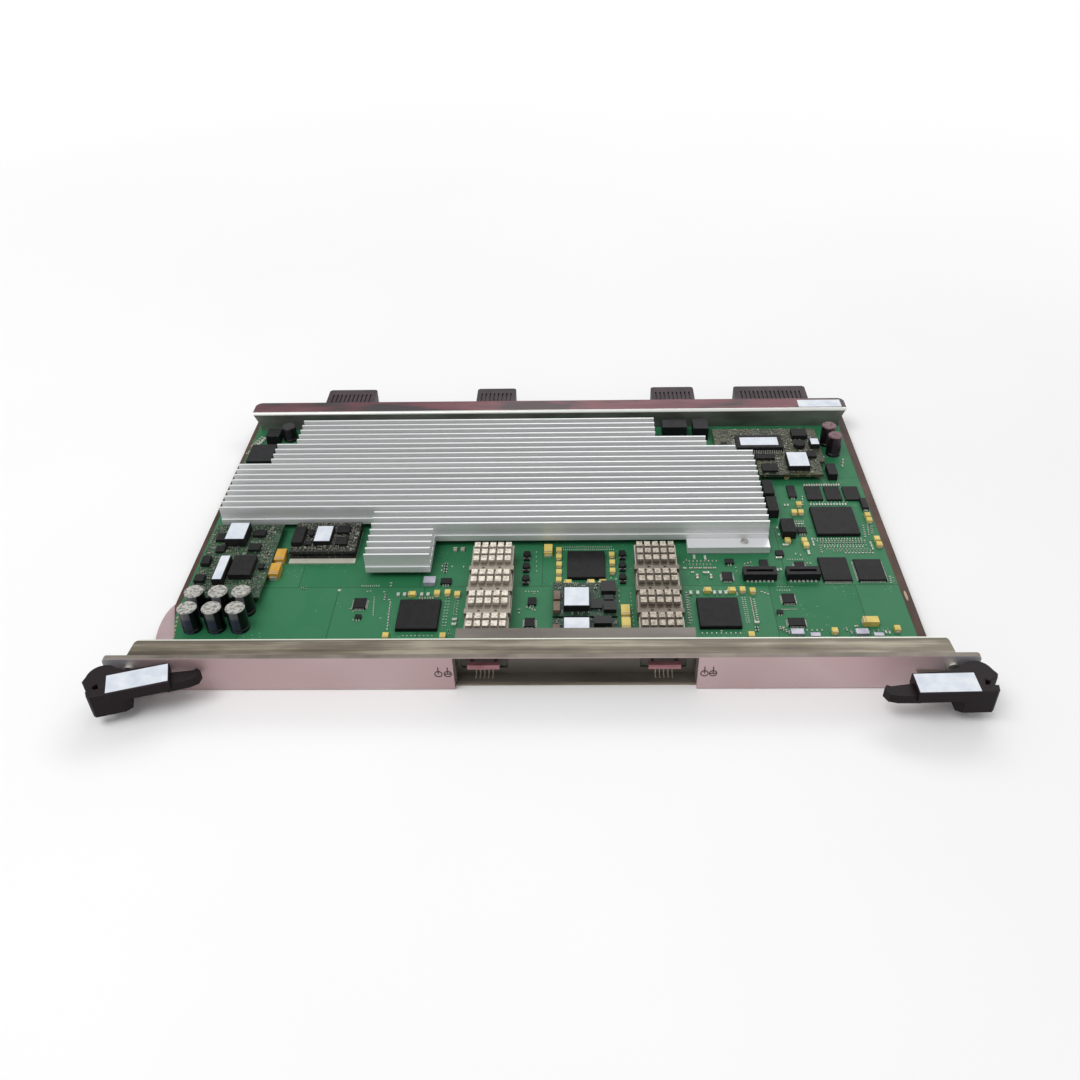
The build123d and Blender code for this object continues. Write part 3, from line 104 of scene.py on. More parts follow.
# A material, and short ways to add the nodes that feed it
class Surface:
    def __init__(self, name):
        self.material = bpy.data.materials.new(name)
        self.material.use_nodes = True
        self.tree = self.material.node_tree
        self.shader = self.tree.nodes["Principled BSDF"]
        self.position = self.tree.nodes.new("ShaderNodeTexCoord").outputs["Object"]

    def add(self, kind, **settings):
        node = self.tree.nodes.new(kind)
        for name, value in settings.items():
            setattr(node, name, value)
        return node

    def feed(self, value, socket):
        if hasattr(value, "is_output"):
            self.tree.links.new(value, socket)
        else:
            socket.default_value = value

    def stretched(self, scale):
        mapping = self.add("ShaderNodeMapping")
        self.feed(scale, mapping.inputs["Scale"])
        self.feed(self.position, mapping.inputs["Vector"])
        return mapping.outputs["Vector"]

    def noise(self, scale, detail=4.0, stretch=(1, 1, 1), roughness=0.55):
        node = self.add("ShaderNodeTexNoise")
        self.feed(scale, node.inputs["Scale"])
        self.feed(detail, node.inputs["Detail"])
        self.feed(roughness, node.inputs["Roughness"])
        self.feed(self.stretched(stretch), node.inputs["Vector"])
        return node.outputs["Fac"]

    def ramp(self, value, stops):
        node = self.add("ShaderNodeValToRGB")
        elements = node.color_ramp.elements
        while len(elements) < len(stops):
            elements.new(0.5)
        for element, (place, colour) in zip(elements, stops):
            element.position = place
            element.color = colour
        self.feed(value, node.inputs["Fac"])
        return node.outputs["Color"]

    def spread(self, value, low, high):
        """A value from 0 to 1 as one from low to high."""
        node = self.add("ShaderNodeMapRange")
        self.feed(low, node.inputs["To Min"])
        self.feed(high, node.inputs["To Max"])
        self.feed(value, node.inputs["Value"])
        return node.outputs["Result"]

    def band(self, value, low, high):
        """0 at low and beyond it, 1 at high and beyond it."""
        node = self.add("ShaderNodeMapRange")
        self.feed(low, node.inputs["From Min"])
        self.feed(high, node.inputs["From Max"])
        self.feed(value, node.inputs["Value"])
        return node.outputs["Result"]

    def stripe(self, value, low, high, blur):
        """1 between low and high, 0 outside them."""
        rising = self.band(value, low - blur, low)
        falling = self.band(value, high + blur, high)
        return self.maths("MULTIPLY", rising, falling)

    def maths(self, operation, first, second):
        node = self.add("ShaderNodeMath", operation=operation)
        self.feed(first, node.inputs[0])
        self.feed(second, node.inputs[1])
        return node.outputs["Value"]

    def mix(self, share, first, second):
        node = self.add("ShaderNodeMix", data_type="RGBA")
        self.feed(share, node.inputs["Factor"])
        self.feed(first, node.inputs["A"])
        self.feed(second, node.inputs["B"])
        return node.outputs["Result"]

    def split(self, vector):
        node = self.add("ShaderNodeSeparateXYZ")
        self.feed(vector, node.inputs["Vector"])
        return node.outputs["X"], node.outputs["Y"], node.outputs["Z"]

    def facing(self):
        """How far a face looks along X, Y and Z."""
        return self.split(self.add("ShaderNodeNewGeometry").outputs["Normal"])

    def set(self, **values):
        for name, value in values.items():
            self.feed(value, self.shader.inputs[name.replace("_", " ")])

    def bump(self, height, strength, distance):
        node = self.add("ShaderNodeBump")
        self.feed(strength, node.inputs["Strength"])
        self.feed(distance, node.inputs["Distance"])
        self.feed(height, node.inputs["Height"])
        self.feed(node.outputs["Normal"], self.shader.inputs["Normal"])


def plain(name, colour, darker, metal, low, high, scale, stretch=(1, 1, 1), grain=0.15, shine=0.5):
    """A finish whose colour and gloss wander a little, with a fine grain."""
    surface = Surface(name)
    wander = surface.noise(scale, stretch=stretch)
    tone = surface.ramp(wander, ((0.3, linear(*darker)), (0.7, linear(*colour))))
    gloss = surface.spread(surface.noise(scale * 2.3, stretch=stretch), low, high)
    surface.set(Base_Color=tone, Roughness=gloss, Metallic=metal, Specular_IOR_Level=shine)
    surface.bump(surface.noise(scale * 9, stretch=stretch), grain, 0.00005)
    return surface.material


# Finishes
def board_finish():
    """Solder mask over copper: planes, tracks and vias show through, and the side edges are bare."""
    surface = Surface("board_mask")
    along, _, _ = surface.split(surface.position)
    planes = surface.add("ShaderNodeTexBrick", offset=0.37, squash=0.7)
    for socket, value in (
        ("Vector", surface.stretched((1, 1, 0))),
        ("Color1", linear(38, 108, 70)),
        ("Color2", linear(50, 114, 78)),
        ("Mortar", linear(34, 84, 56)),
        ("Scale", 1.0),
        ("Mortar Size", 0.0003),
        ("Mortar Smooth", 0.4),
        ("Brick Width", 0.062),
        ("Row Height", 0.047),
    ):
        surface.feed(value, planes.inputs[socket])
    tracks = []
    for direction, stretch, seed in (("X", (1, 1, 1), 22), ("DIAGONAL", (1.3, 0.8, 0), 29)):
        lines = surface.add("ShaderNodeTexWave", wave_type="BANDS", bands_direction=direction)
        surface.feed(360.0, lines.inputs["Scale"])
        surface.feed(surface.stretched((1, 1, 0)), lines.inputs["Vector"])
        patch = surface.band(surface.noise(seed, detail=1.0, stretch=stretch), 0.55, 0.56)
        tracks.append(surface.maths("MULTIPLY", patch, lines.outputs["Fac"]))
    drawn = surface.band(surface.maths("MAXIMUM", *tracks), 0.5, 0.8)
    vias = surface.add("ShaderNodeTexVoronoi")
    surface.feed(420.0, vias.inputs["Scale"])
    surface.feed(surface.stretched((1, 1, 0)), vias.inputs["Vector"])
    dotted = surface.band(surface.noise(38, detail=1.0), 0.58, 0.6)
    dots = surface.maths("MULTIPLY", dotted, surface.band(vias.outputs["Distance"], 0.2, 0.12))
    mask = surface.mix(surface.spread(drawn, 0.0, 0.1), planes.outputs["Color"], linear(86, 140, 108))
    mask = surface.mix(surface.spread(dots, 0.0, 0.5), mask, linear(120, 160, 132))
    left_strip = surface.band(along, LEFT_STRIP_EDGE * MM, (LEFT_STRIP_EDGE - 0.2) * MM)
    right_strip = surface.band(along, RIGHT_STRIP_EDGE * MM, (RIGHT_STRIP_EDGE + 0.4) * MM)
    strip_tone = surface.ramp(
        surface.noise(70, stretch=(1, 0.5, 1)),
        ((0.3, linear(52, 36, 30)), (0.7, linear(88, 66, 56))),
    )
    tone = surface.mix(surface.maths("MAXIMUM", left_strip, right_strip), mask, strip_tone)
    gloss = surface.spread(surface.noise(240), 0.4, 0.55)
    surface.set(Base_Color=tone, Roughness=gloss, Specular_IOR_Level=0.16)
    surface.bump(surface.maths("MAXIMUM", drawn, dots), 0.12, 0.00003)
    return surface.material


def module_finish(name, mask, darker, dots_tone):
    """The small boards' mask, with a dense scatter of pads and vias."""
    surface = Surface(name)
    vias = surface.add("ShaderNodeTexVoronoi")
    surface.feed(620.0, vias.inputs["Scale"])
    surface.feed(surface.stretched((1, 1, 0)), vias.inputs["Vector"])
    wander = surface.ramp(surface.noise(150), ((0.35, linear(*darker)), (0.65, linear(*mask))))
    dots = surface.band(vias.outputs["Distance"], 0.3, 0.2)
    tone = surface.mix(surface.spread(dots, 0.0, 0.6), wander, linear(*dots_tone))
    gloss = surface.spread(surface.noise(400), 0.35, 0.5)
    surface.set(Base_Color=tone, Roughness=gloss, Specular_IOR_Level=0.2)
    surface.bump(dots, 0.3, 0.00005)
    return surface.material


def panel_finish():
    """Satin anodised face, greyer at its ends, with a paler top edge."""
    surface = Surface("panel_satin")
    along, _, _ = surface.split(surface.position)
    _, _, upward = surface.facing()
    broad = surface.ramp(
        surface.noise(9, detail=2),
        ((0.35, linear(180, 152, 154)), (0.6, linear(196, 173, 174)), (0.75, linear(194, 158, 162))),
    )
    ends = surface.band(surface.maths("ABSOLUTE", along, 0.0), 0.176, 0.188)
    face = surface.mix(surface.spread(ends, 0.0, 0.8), broad, linear(160, 164, 170))
    edge = surface.ramp(surface.noise(60), ((0.3, linear(92, 86, 76)), (0.7, linear(126, 118, 108))))
    tone = surface.mix(surface.band(upward, 0.5, 0.8), face, edge)
    surface.set(Base_Color=tone, Roughness=surface.spread(surface.noise(30), 0.4, 0.52), Metallic=0.3)
    surface.bump(surface.noise(800), 0.06, 0.00003)
    return surface.material


def shield_finish():
    """Rolled sheet, streaked along its length, with a painted highlight along its folded rear edge and a
    painted shade line just in front of it.
    """
    surface = Surface("shield_sheet")
    _, back, _ = surface.split(surface.position)
    streaks = surface.noise(22, detail=7, stretch=(0.25, 9, 9), roughness=0.7)
    clouds = surface.noise(26, detail=3, stretch=(0.6, 1.5, 1))
    mixed = surface.maths("ADD", surface.spread(streaks, 0, 0.6), surface.spread(clouds, 0, 0.4))
    body = surface.ramp(
        mixed,
        ((0.4, linear(66, 59, 46)), (0.5, linear(104, 96, 80)), (0.58, linear(150, 141, 125))),
    )
    rear = whole_box("panel_shield")[1][1] * MM
    # A painted shade line just in front of the rear edge, then a painted highlight along the fold.
    body = surface.mix(surface.stripe(back, rear - 0.0013, rear - 0.0009, 0.0002), body, linear(84, 78, 66))
    body = surface.mix(surface.band(back, rear - 0.0009, rear - 0.0006), body, linear(206, 208, 196))
    gloss = surface.spread(streaks, 0.32, 0.5)
    surface.set(Base_Color=body, Roughness=gloss, Metallic=0.3)
    surface.bump(surface.noise(300, stretch=(0.1, 1, 1)), 0.12, 0.00004)
    return surface.material


def stiffener_finish():
    """Shiny metal: a painted dark maroon reflection on the flange top, a painted highlight along the bend,
    and a dim metal wall below it.
    """
    surface = Surface("stiffener_coat")
    _, back, _ = surface.split(surface.position)
    _, _, upward = surface.facing()
    # The maroon tones on the flange top are painted reflection.
    flange_reflection = surface.ramp(
        surface.noise(15, detail=3, stretch=(0.8, 3, 1)),
        (
            (0.38, linear(36, 24, 28)),
            (0.44, linear(84, 36, 46)),
            (0.54, linear(98, 52, 58)),
            (0.62, linear(50, 32, 36)),
        ),
    )
    wall = surface.ramp(
        surface.noise(24, detail=3, stretch=(1, 1, 3)),
        ((0.3, linear(76, 78, 72)), (0.7, linear(126, 130, 122))),
    )
    front = whole_box("rear_stiffener")[0][1] * MM
    top = surface.band(upward, 0.45, 0.6)
    rounded = surface.band(upward, 0.1, 0.2)
    # Painted highlight: a pale tone on the rounded bend near the front edge.
    bend_highlight = surface.maths("MULTIPLY", rounded, surface.band(back, front + 0.0018, front + 0.0013))
    tone = surface.mix(bend_highlight, surface.mix(top, wall, flange_reflection), linear(214, 216, 210))
    surface.set(Base_Color=tone, Roughness=surface.spread(surface.noise(40), 0.26, 0.38), Metallic=0.4)
    surface.bump(surface.noise(700), 0.06, 0.00003)
    return surface.material


def sink_finish():
    """Extruded aluminium, drawn along X; its upward faces are painted in a paler even tone as painted light,
    the fin tops in a slightly darker one than the lip.
    """
    surface = Surface("heat_sink_drawn")
    _, _, up = surface.split(surface.position)
    _, _, upward = surface.facing()
    drawn = surface.noise(50, detail=5, stretch=(0.05, 6, 6))
    body = surface.ramp(drawn, ((0.3, linear(202, 204, 204)), (0.7, linear(226, 227, 227))))
    # Painted light: upward faces take a paler even tone, the fin tops a slightly darker one than the lip
    # below them.
    level = surface.band(upward, 0.7, 0.9)
    lit_fin_tops = surface.maths("MULTIPLY", level, surface.band(up, FIN_TOP * MM, (FIN_TOP + 0.4) * MM))
    tone = surface.mix(lit_fin_tops, surface.mix(level, body, linear(222, 224, 226)), linear(216, 218, 218))
    surface.set(Base_Color=tone, Roughness=surface.spread(drawn, 0.3, 0.5), Metallic=0.3)
    surface.bump(surface.noise(900, stretch=(0.04, 1, 1)), 0.1, 0.00003)
    return surface.material


def pin_finish(name, bright, dull, gap_shade):
    """Cast pins with uneven bright tops, and painted shade on their lower parts and between them."""
    surface = Surface(name)
    _, _, up = surface.split(surface.position)
    mottle = surface.ramp(
        surface.noise(760, detail=4),
        ((0.4, linear(*dull)), (0.56, linear(*bright))),
    )
    top = whole_box("left_port_heat_sink")[1][2] * MM
    # Painted shade: the pins blend into the gap colour from 0.4 mm to 2.2 mm below their tops.
    tone = surface.mix(surface.band(up, top - 0.0022, top - 0.0004), linear(*gap_shade), mottle)
    surface.set(Base_Color=tone, Roughness=surface.spread(surface.noise(500), 0.35, 0.6), Metallic=0.4)
    surface.bump(surface.noise(1400), 0.3, 0.00008)
    return surface.material


def can_finish(name, top, sleeve, upper, lower, top_level):
    """A can in a dark sleeve with a stripe down its front, and a bare mottled top."""
    surface = Surface(name)
    _, _, up = surface.split(surface.position)
    _, forward, _ = surface.facing()
    stripe = surface.mix(
        surface.band(up, (top_level - 5.2) * MM, (top_level - 3.6) * MM),
        linear(*lower),
        linear(*upper),
    )
    body = surface.mix(surface.band(forward, -0.88, -0.92), linear(*sleeve), stripe)
    lid = surface.band(up, (top_level - 0.7) * MM, (top_level - 0.55) * MM)
    darker = [level * 0.66 for level in top]
    brushed = surface.ramp(surface.noise(620), ((0.42, linear(*darker)), (0.54, linear(*top))))
    tone = surface.mix(lid, body, brushed)
    surface.set(Base_Color=tone, Roughness=surface.spread(lid, 0.3, 0.42), Specular_IOR_Level=0.25)
    surface.bump(surface.noise(700), 0.15, 0.00006)
    return surface.material


def cover_finish():
    """Plates painted dim as painted shade in the port mouths, with the pull bars in front of them in a red
    finish.
    """
    surface = Surface("cover_pull")
    _, back, _ = surface.split(surface.position)
    # The plates' dim tones are painted shade in the port mouths.
    mouth_shade = surface.ramp(surface.noise(90), ((0.3, linear(66, 58, 54)), (0.7, linear(96, 86, 80))))
    red = surface.ramp(
        surface.noise(70, stretch=(1, 4, 4)),
        ((0.3, linear(140, 84, 90)), (0.7, linear(186, 136, 138))),
    )
    bars = surface.band(back, PULL_BAR_REAR * MM, (PULL_BAR_REAR - 0.3) * MM)
    gloss = surface.spread(surface.noise(200), 0.3, 0.45)
    surface.set(Base_Color=surface.mix(bars, mouth_shade, red), Roughness=gloss)
    surface.bump(surface.noise(900), 0.08, 0.00004)
    return surface.material


def lever_finish():
    """Near-black moulding, grained, with edges that catch a little light."""
    surface = Surface("lever_mould")
    _, _, upward = surface.facing()
    grain = surface.noise(600, detail=5)
    tone = surface.ramp(grain, ((0.3, linear(18, 12, 15)), (0.7, linear(30, 22, 26))))
    edge = surface.stripe(upward, 0.4, 0.9, 0.1)
    tone = surface.mix(surface.spread(edge, 0.0, 0.6), tone, linear(50, 40, 45))
    surface.set(Base_Color=tone, Roughness=surface.spread(grain, 0.42, 0.6), Specular_IOR_Level=0.15)
    surface.bump(grain, 0.35, 0.00005)
    return surface.material


def two_tone(name, border, right_tones, left_tones):
    """A moulding in one pair of tones right of a border along X, and in another left of it."""
    surface = Surface(name)
    along, _, _ = surface.split(surface.position)
    wander = surface.noise(140)
    right_hand, left_hand = (
        surface.ramp(wander, ((0.3, linear(*dark)), (0.7, linear(*light))))
        for dark, light in (right_tones, left_tones)
    )
    tone = surface.mix(surface.band(along, border, border - 0.0002), right_hand, left_hand)
    surface.set(Base_Color=tone, Roughness=surface.spread(wander, 0.4, 0.55), Specular_IOR_Level=0.25)
    surface.bump(surface.noise(1200), 0.15, 0.00005)
    return surface.material


finishes = {
    "board": board_finish(),
    "left_module": module_finish("left_module_mask", (62, 92, 68), (30, 48, 38), (120, 132, 104)),
    "right_module": module_finish("right_module_mask", (80, 78, 58), (36, 44, 34), (120, 122, 98)),
    "middle_module": module_finish("middle_module_mask", (44, 76, 58), (26, 42, 34), (96, 110, 92)),
    "brick": module_finish("brick_mask", (48, 48, 44), (26, 28, 28), (112, 112, 104)),
    "panel": panel_finish(),
    "ear": plain("ear_satin", (184, 162, 166), (160, 136, 140), 0.2, 0.4, 0.55, 40),
    "shield": shield_finish(),
    "tray": plain("tray_sheet", (116, 110, 102), (78, 72, 66), 0.35, 0.35, 0.5, 22, (0.5, 2, 2), 0.1),
    "stiffener": stiffener_finish(),
    "spring": plain("spring_sheet", (206, 200, 188), (168, 160, 148), 0.6, 0.25, 0.4, 120),
    "cage": plain("cage_sheet", (150, 146, 136), (112, 108, 98), 0.6, 0.3, 0.45, 80),
    "cover": cover_finish(),
    "pins": pin_finish("pin_sink_cast", (216, 208, 194), (172, 164, 152), (134, 126, 114)),
    # Painted shade: the right pin sink and its clip take a darker copy of the pin finish.
    "pins_shaded": pin_finish("pin_sink_shaded", (172, 163, 148), (128, 120, 108), (100, 92, 82)),
    "sink": sink_finish(),
    "screw": plain("screw_zinc", (196, 194, 186), (158, 156, 150), 0.7, 0.25, 0.4, 300),
    "chip": plain("chip_mould", (28, 27, 29), (17, 17, 19), 0.0, 0.42, 0.6, 240, grain=0.3, shine=0.14),
    "pad": plain("pad_rubber", (142, 142, 146), (120, 120, 124), 0.0, 0.7, 0.85, 300),
    "connector": plain(
        "connector_mould", (66, 52, 58), (38, 30, 34), 0.0, 0.4, 0.6, 90, grain=0.2, shine=0.2
    ),
    "lever": lever_finish(),
    "label": plain("label_film", (222, 226, 232), (196, 204, 216), 0.0, 0.35, 0.5, 160, grain=0.05),
    "tantalum": two_tone(
        "tantalum_case", -0.085, ((196, 172, 84), (224, 202, 116)), ((190, 142, 50), (216, 168, 72))
    ),
    "ferrite": plain("ferrite_core", (36, 35, 36), (20, 20, 22), 0.0, 0.5, 0.7, 400, grain=0.3, shine=0.14),
    "middle_cores": two_tone(
        "middle_cores", 0.0095, ((20, 20, 22), (36, 35, 36)), ((88, 72, 60), (126, 106, 90))
    ),
    "dark": plain("dark_mould", (30, 29, 32), (18, 17, 20), 0.0, 0.4, 0.6, 300, grain=0.2, shine=0.15),
    "white": plain("white_mould", (206, 204, 190), (184, 182, 168), 0.0, 0.45, 0.6, 120),
    "clear": plain("light_pipe", (196, 184, 182), (170, 156, 156), 0.0, 0.15, 0.25, 300),
    "bulk": can_finish("bulk_can", (182, 180, 174), (17, 16, 20), (112, 112, 116), (66, 67, 86), 19.3),
    "rear_can": can_finish("rear_can", (122, 90, 97), (22, 17, 21), (58, 48, 56), (46, 38, 46), 18.9),
    "crystal": plain("crystal_can", (184, 181, 194), (148, 145, 160), 0.2, 0.35, 0.5, 200),
    "tin": plain("solder_tin", (200, 202, 194), (150, 152, 144), 0.3, 0.35, 0.5, 900),
    "ceramic": plain("ceramic_tan", (176, 156, 132), (140, 120, 98), 0.0, 0.45, 0.6, 900),
    "pale": plain("ceramic_pale", (186, 198, 184), (150, 168, 152), 0.0, 0.4, 0.55, 900),
    # Painted shade: darker copies of the solder and ceramic finishes, for the passives on the modules.
    "tin_shaded": plain("solder_shaded", (158, 160, 148), (112, 114, 102), 0.2, 0.35, 0.5, 900),
    "ceramic_shaded": plain("ceramic_shaded", (110, 98, 80), (74, 66, 52), 0.0, 0.45, 0.6, 900),
    "pale_shaded": plain("pale_shaded", (140, 148, 132), (92, 106, 88), 0.0, 0.45, 0.6, 900),
    "resistor": plain("resistor_black", (36, 36, 38), (24, 24, 26), 0.0, 0.4, 0.55, 900),
    "dark_ink": plain("dark_ink", (66, 34, 42), (52, 26, 34), 0.0, 0.5, 0.65, 300),
}

node_finish = {
    "main_board": "board",
    "corner_ear": "ear",
    "left_module_board": "left_module",
    "right_module_board": "right_module",
    "middle_module_board": "middle_module",
    "brick_boards": "brick",
    "brick_pad": "white",
    "front_panel": "panel",
    "panel_shield": "shield",
    "port_tray": "tray",
    "board_brackets": "shield",
    "rear_stiffener": "stiffener",
    "light_pipes": "clear",
    "port_fingers": "spring",
    "left_port_cage": "cage",
    "right_port_cage": "cage",
    "left_port_cover": "cover",
    "right_port_cover": "cover",
    "edge_connectors": "dark",
    "left_port_heat_sink": "pins",
    "right_port_heat_sink": "pins_shaded",
    "left_port_clip": "pins",
    "right_port_clip": "pins_shaded",
    "heat_sink": "sink",
    "heat_sink_screws": "screw",
    "heat_sink_foot_screw": "screw",
    "stiffener_screws": "screw",
    "left_captive_screw": "screw",
    "right_captive_screw": "screw",
    "covered_chips": "chip",
    "thermal_pads": "pad",
    "first_backplane_connector": "connector",
    "second_backplane_connector": "connector",
    "third_backplane_connector": "connector",
    "fourth_backplane_connector": "connector",
    "left_lever": "lever",
    "right_lever": "lever",
    "left_lever_bracket": "panel",
    "right_lever_bracket": "panel",
    "left_lever_label": "label",
    "right_lever_label": "label",
    "board_labels": "label",
    "bulk_capacitors": "bulk",
    "rear_capacitors": "rear_can",
    "tantalum_capacitors": "tantalum",
    "framer_chips": "chip",
    "centre_chip": "chip",
    "control_processor": "chip",
    "flash_chips": "chip",
    "memory_chips": "chip",
    "small_chips": "chip",
    "board_sockets": "dark",
    "power_inductors": "ferrite",
    "filter_inductors": "ferrite",
    "crystal_cans": "crystal",
    "left_module_cores": "ferrite",
    "right_module_cores": "ferrite",
    "middle_module_cores": "middle_cores",
    "brick_cores": "ferrite",
    "rear_blocks": "dark",
}
for name, node in nodes.items():
    node.data.materials.clear()
    node.data.materials.append(finishes[node_finish[name]])

open_nodes = ("main_board", "front_panel", "panel_shield", "port_tray", "heat_sink", "corner_ear")
board_solids = []
for name in nodes:
    if name not in open_nodes:
        board_solids += solid_boxes(name)


def is_free(x, y, half_x, half_y, low, high, margin=0.2):
    """Whether a small part at this place, between these heights, is clear of every CAD solid outside the
    open nodes.
    """
    for box_low, box_high in board_solids:
        if box_low[2] > high or box_high[2] < low + 0.05:
            continue
        if box_low[0] - half_x - margin < x < box_high[0] + half_x + margin:
            if box_low[1] - half_y - margin < y < box_high[1] + half_y + margin:
                return False
    return True


# Meshes
def add_block(mesh, centre, size, slot=0, bevel=0.0, turn=0.0):
    """A box whose top edges are broken by bevel; centre is the middle of its foot."""
    half_x, half_y = size[0] / 2, size[1] / 2
    rings = [(half_x, half_y, 0.0), (half_x, half_y, size[2] - bevel)]
    if bevel:
        rings.append((half_x - bevel, half_y - bevel, size[2]))
    turned = Matrix.Rotation(turn, 3, "Z")
    loops = []
    for reach_x, reach_y, rise in rings:
        corners = ((-reach_x, -reach_y), (reach_x, -reach_y), (reach_x, reach_y), (-reach_x, reach_y))
        places = [Vector(centre) + turned @ Vector((*corner, rise)) for corner in corners]
        loops.append([mesh.verts.new(place * MM) for place in places])
    close_loops(mesh, loops, slot)


def close_loops(mesh, loops, slot):
    """Join loops of equal length by quads, and cap the first and the last."""
    count = len(loops[0])
    faces = [mesh.faces.new(loops[0][::-1]), mesh.faces.new(loops[-1])]
    for lower, upper in zip(loops, loops[1:]):
        for side in range(count):
            after = (side + 1) % count
            faces.append(mesh.faces.new((lower[side], lower[after], upper[after], upper[side])))
    for face in faces:
        face.material_index = slot


def add_tube(mesh, path, radius, slot=0, sides=8):
    """A round bar through the given points."""
    rings = []
    for index, point in enumerate(path):
        ahead = Vector(path[min(index + 1, len(path) - 1)])
        behind = Vector(path[max(index - 1, 0)])
        forward = (ahead - behind).normalized()
        up = Vector((0, 0, 1)) if abs(forward.z) < 0.9 else Vector((1, 0, 0))
        right = forward.cross(up).normalized()
        up = right.cross(forward)
        ring = []
        for side in range(sides):
            angle = 2 * math.pi * side / sides
            offset = right * math.cos(angle) + up * math.sin(angle)
            ring.append(mesh.verts.new((Vector(point) + offset * radius) * MM))
        rings.append(ring)
    close_loops(mesh, rings, slot)


def add_disc(mesh, centre, radius_x, radius_y, height, slot=0, sides=16):
    """A low round or oval plate; centre is the middle of its foot."""
    loops = []
    for rise in (0.0, height):
        loop = []
        for side in range(sides):
            angle = 2 * math.pi * side / sides
            place = (radius_x * math.cos(angle), radius_y * math.sin(angle), rise)
            loop.append(mesh.verts.new((Vector(centre) + Vector(place)) * MM))
        loops.append(loop)
    close_loops(mesh, loops, slot)


def piece(name, mesh, slots):
    """Turn a finished bmesh into an object that rides on the card."""
    bmesh.ops.recalc_face_normals(mesh, faces=mesh.faces)
    data = bpy.data.meshes.new(name)
    mesh.to_mesh(data)
    mesh.free()
    made = bpy.data.objects.new(name, data)
    bpy.context.scene.collection.objects.link(made)
    for slot in slots:
        data.materials.append(finishes[slot])
    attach(made, "card")


# Chip resistors, capacitors and networks: (length, width, height) of each size
passive_sizes = {
    "dot": (0.7, 0.45, 0.3),
    "small": (1.0, 0.55, 0.45),
    "medium": (1.6, 0.85, 0.6),
    "large": (2.2, 1.5, 1.1),
    "stout": (2.6, 2.0, 1.3),
    "bar": (3.2, 1.2, 0.8),
}
passive_slots = ("tin", "ceramic", "resistor", "pale")
# The module passives take the darker, painted-shade copies of these finishes.
module_slots = ("tin_shaded", "ceramic_shaded", "resistor", "pale_shaded")
TAN, BLACK, PALE = 1, 2, 3
passives = bmesh.new()
placed = []


def add_passive(mesh, x, y, foot, size, along_x, slot):
    """A body with a tinned cap on each end, if nothing stands there already."""
    length, width, height = passive_sizes[size]
    half = (length / 2, width / 2) if along_x else (width / 2, length / 2)
    if not is_free(x, y, *half, foot, foot + height):
        return False
    for other_x, other_y, other_half_x, other_half_y, other_foot in placed:
        if other_foot == foot and abs(x - other_x) < half[0] + other_half_x + 0.1:
            if abs(y - other_y) < half[1] + other_half_y + 0.1:
                return False
    placed.append((x, y, *half, foot))
    end = length * 0.26
    body = (length, width, height) if along_x else (width, length, height)
    cap = (end, width + 0.06, height + 0.05) if along_x else (width + 0.06, end, height + 0.05)
    add_block(mesh, (x, y, foot), body, slot, 0.06)
    for direction in (-1, 1):
        shift = direction * (length - end + 0.06) / 2
        place = (x + shift, y, foot) if along_x else (x, y + shift, foot)
        add_block(mesh, place, cap, 0, 0.05)
    return True


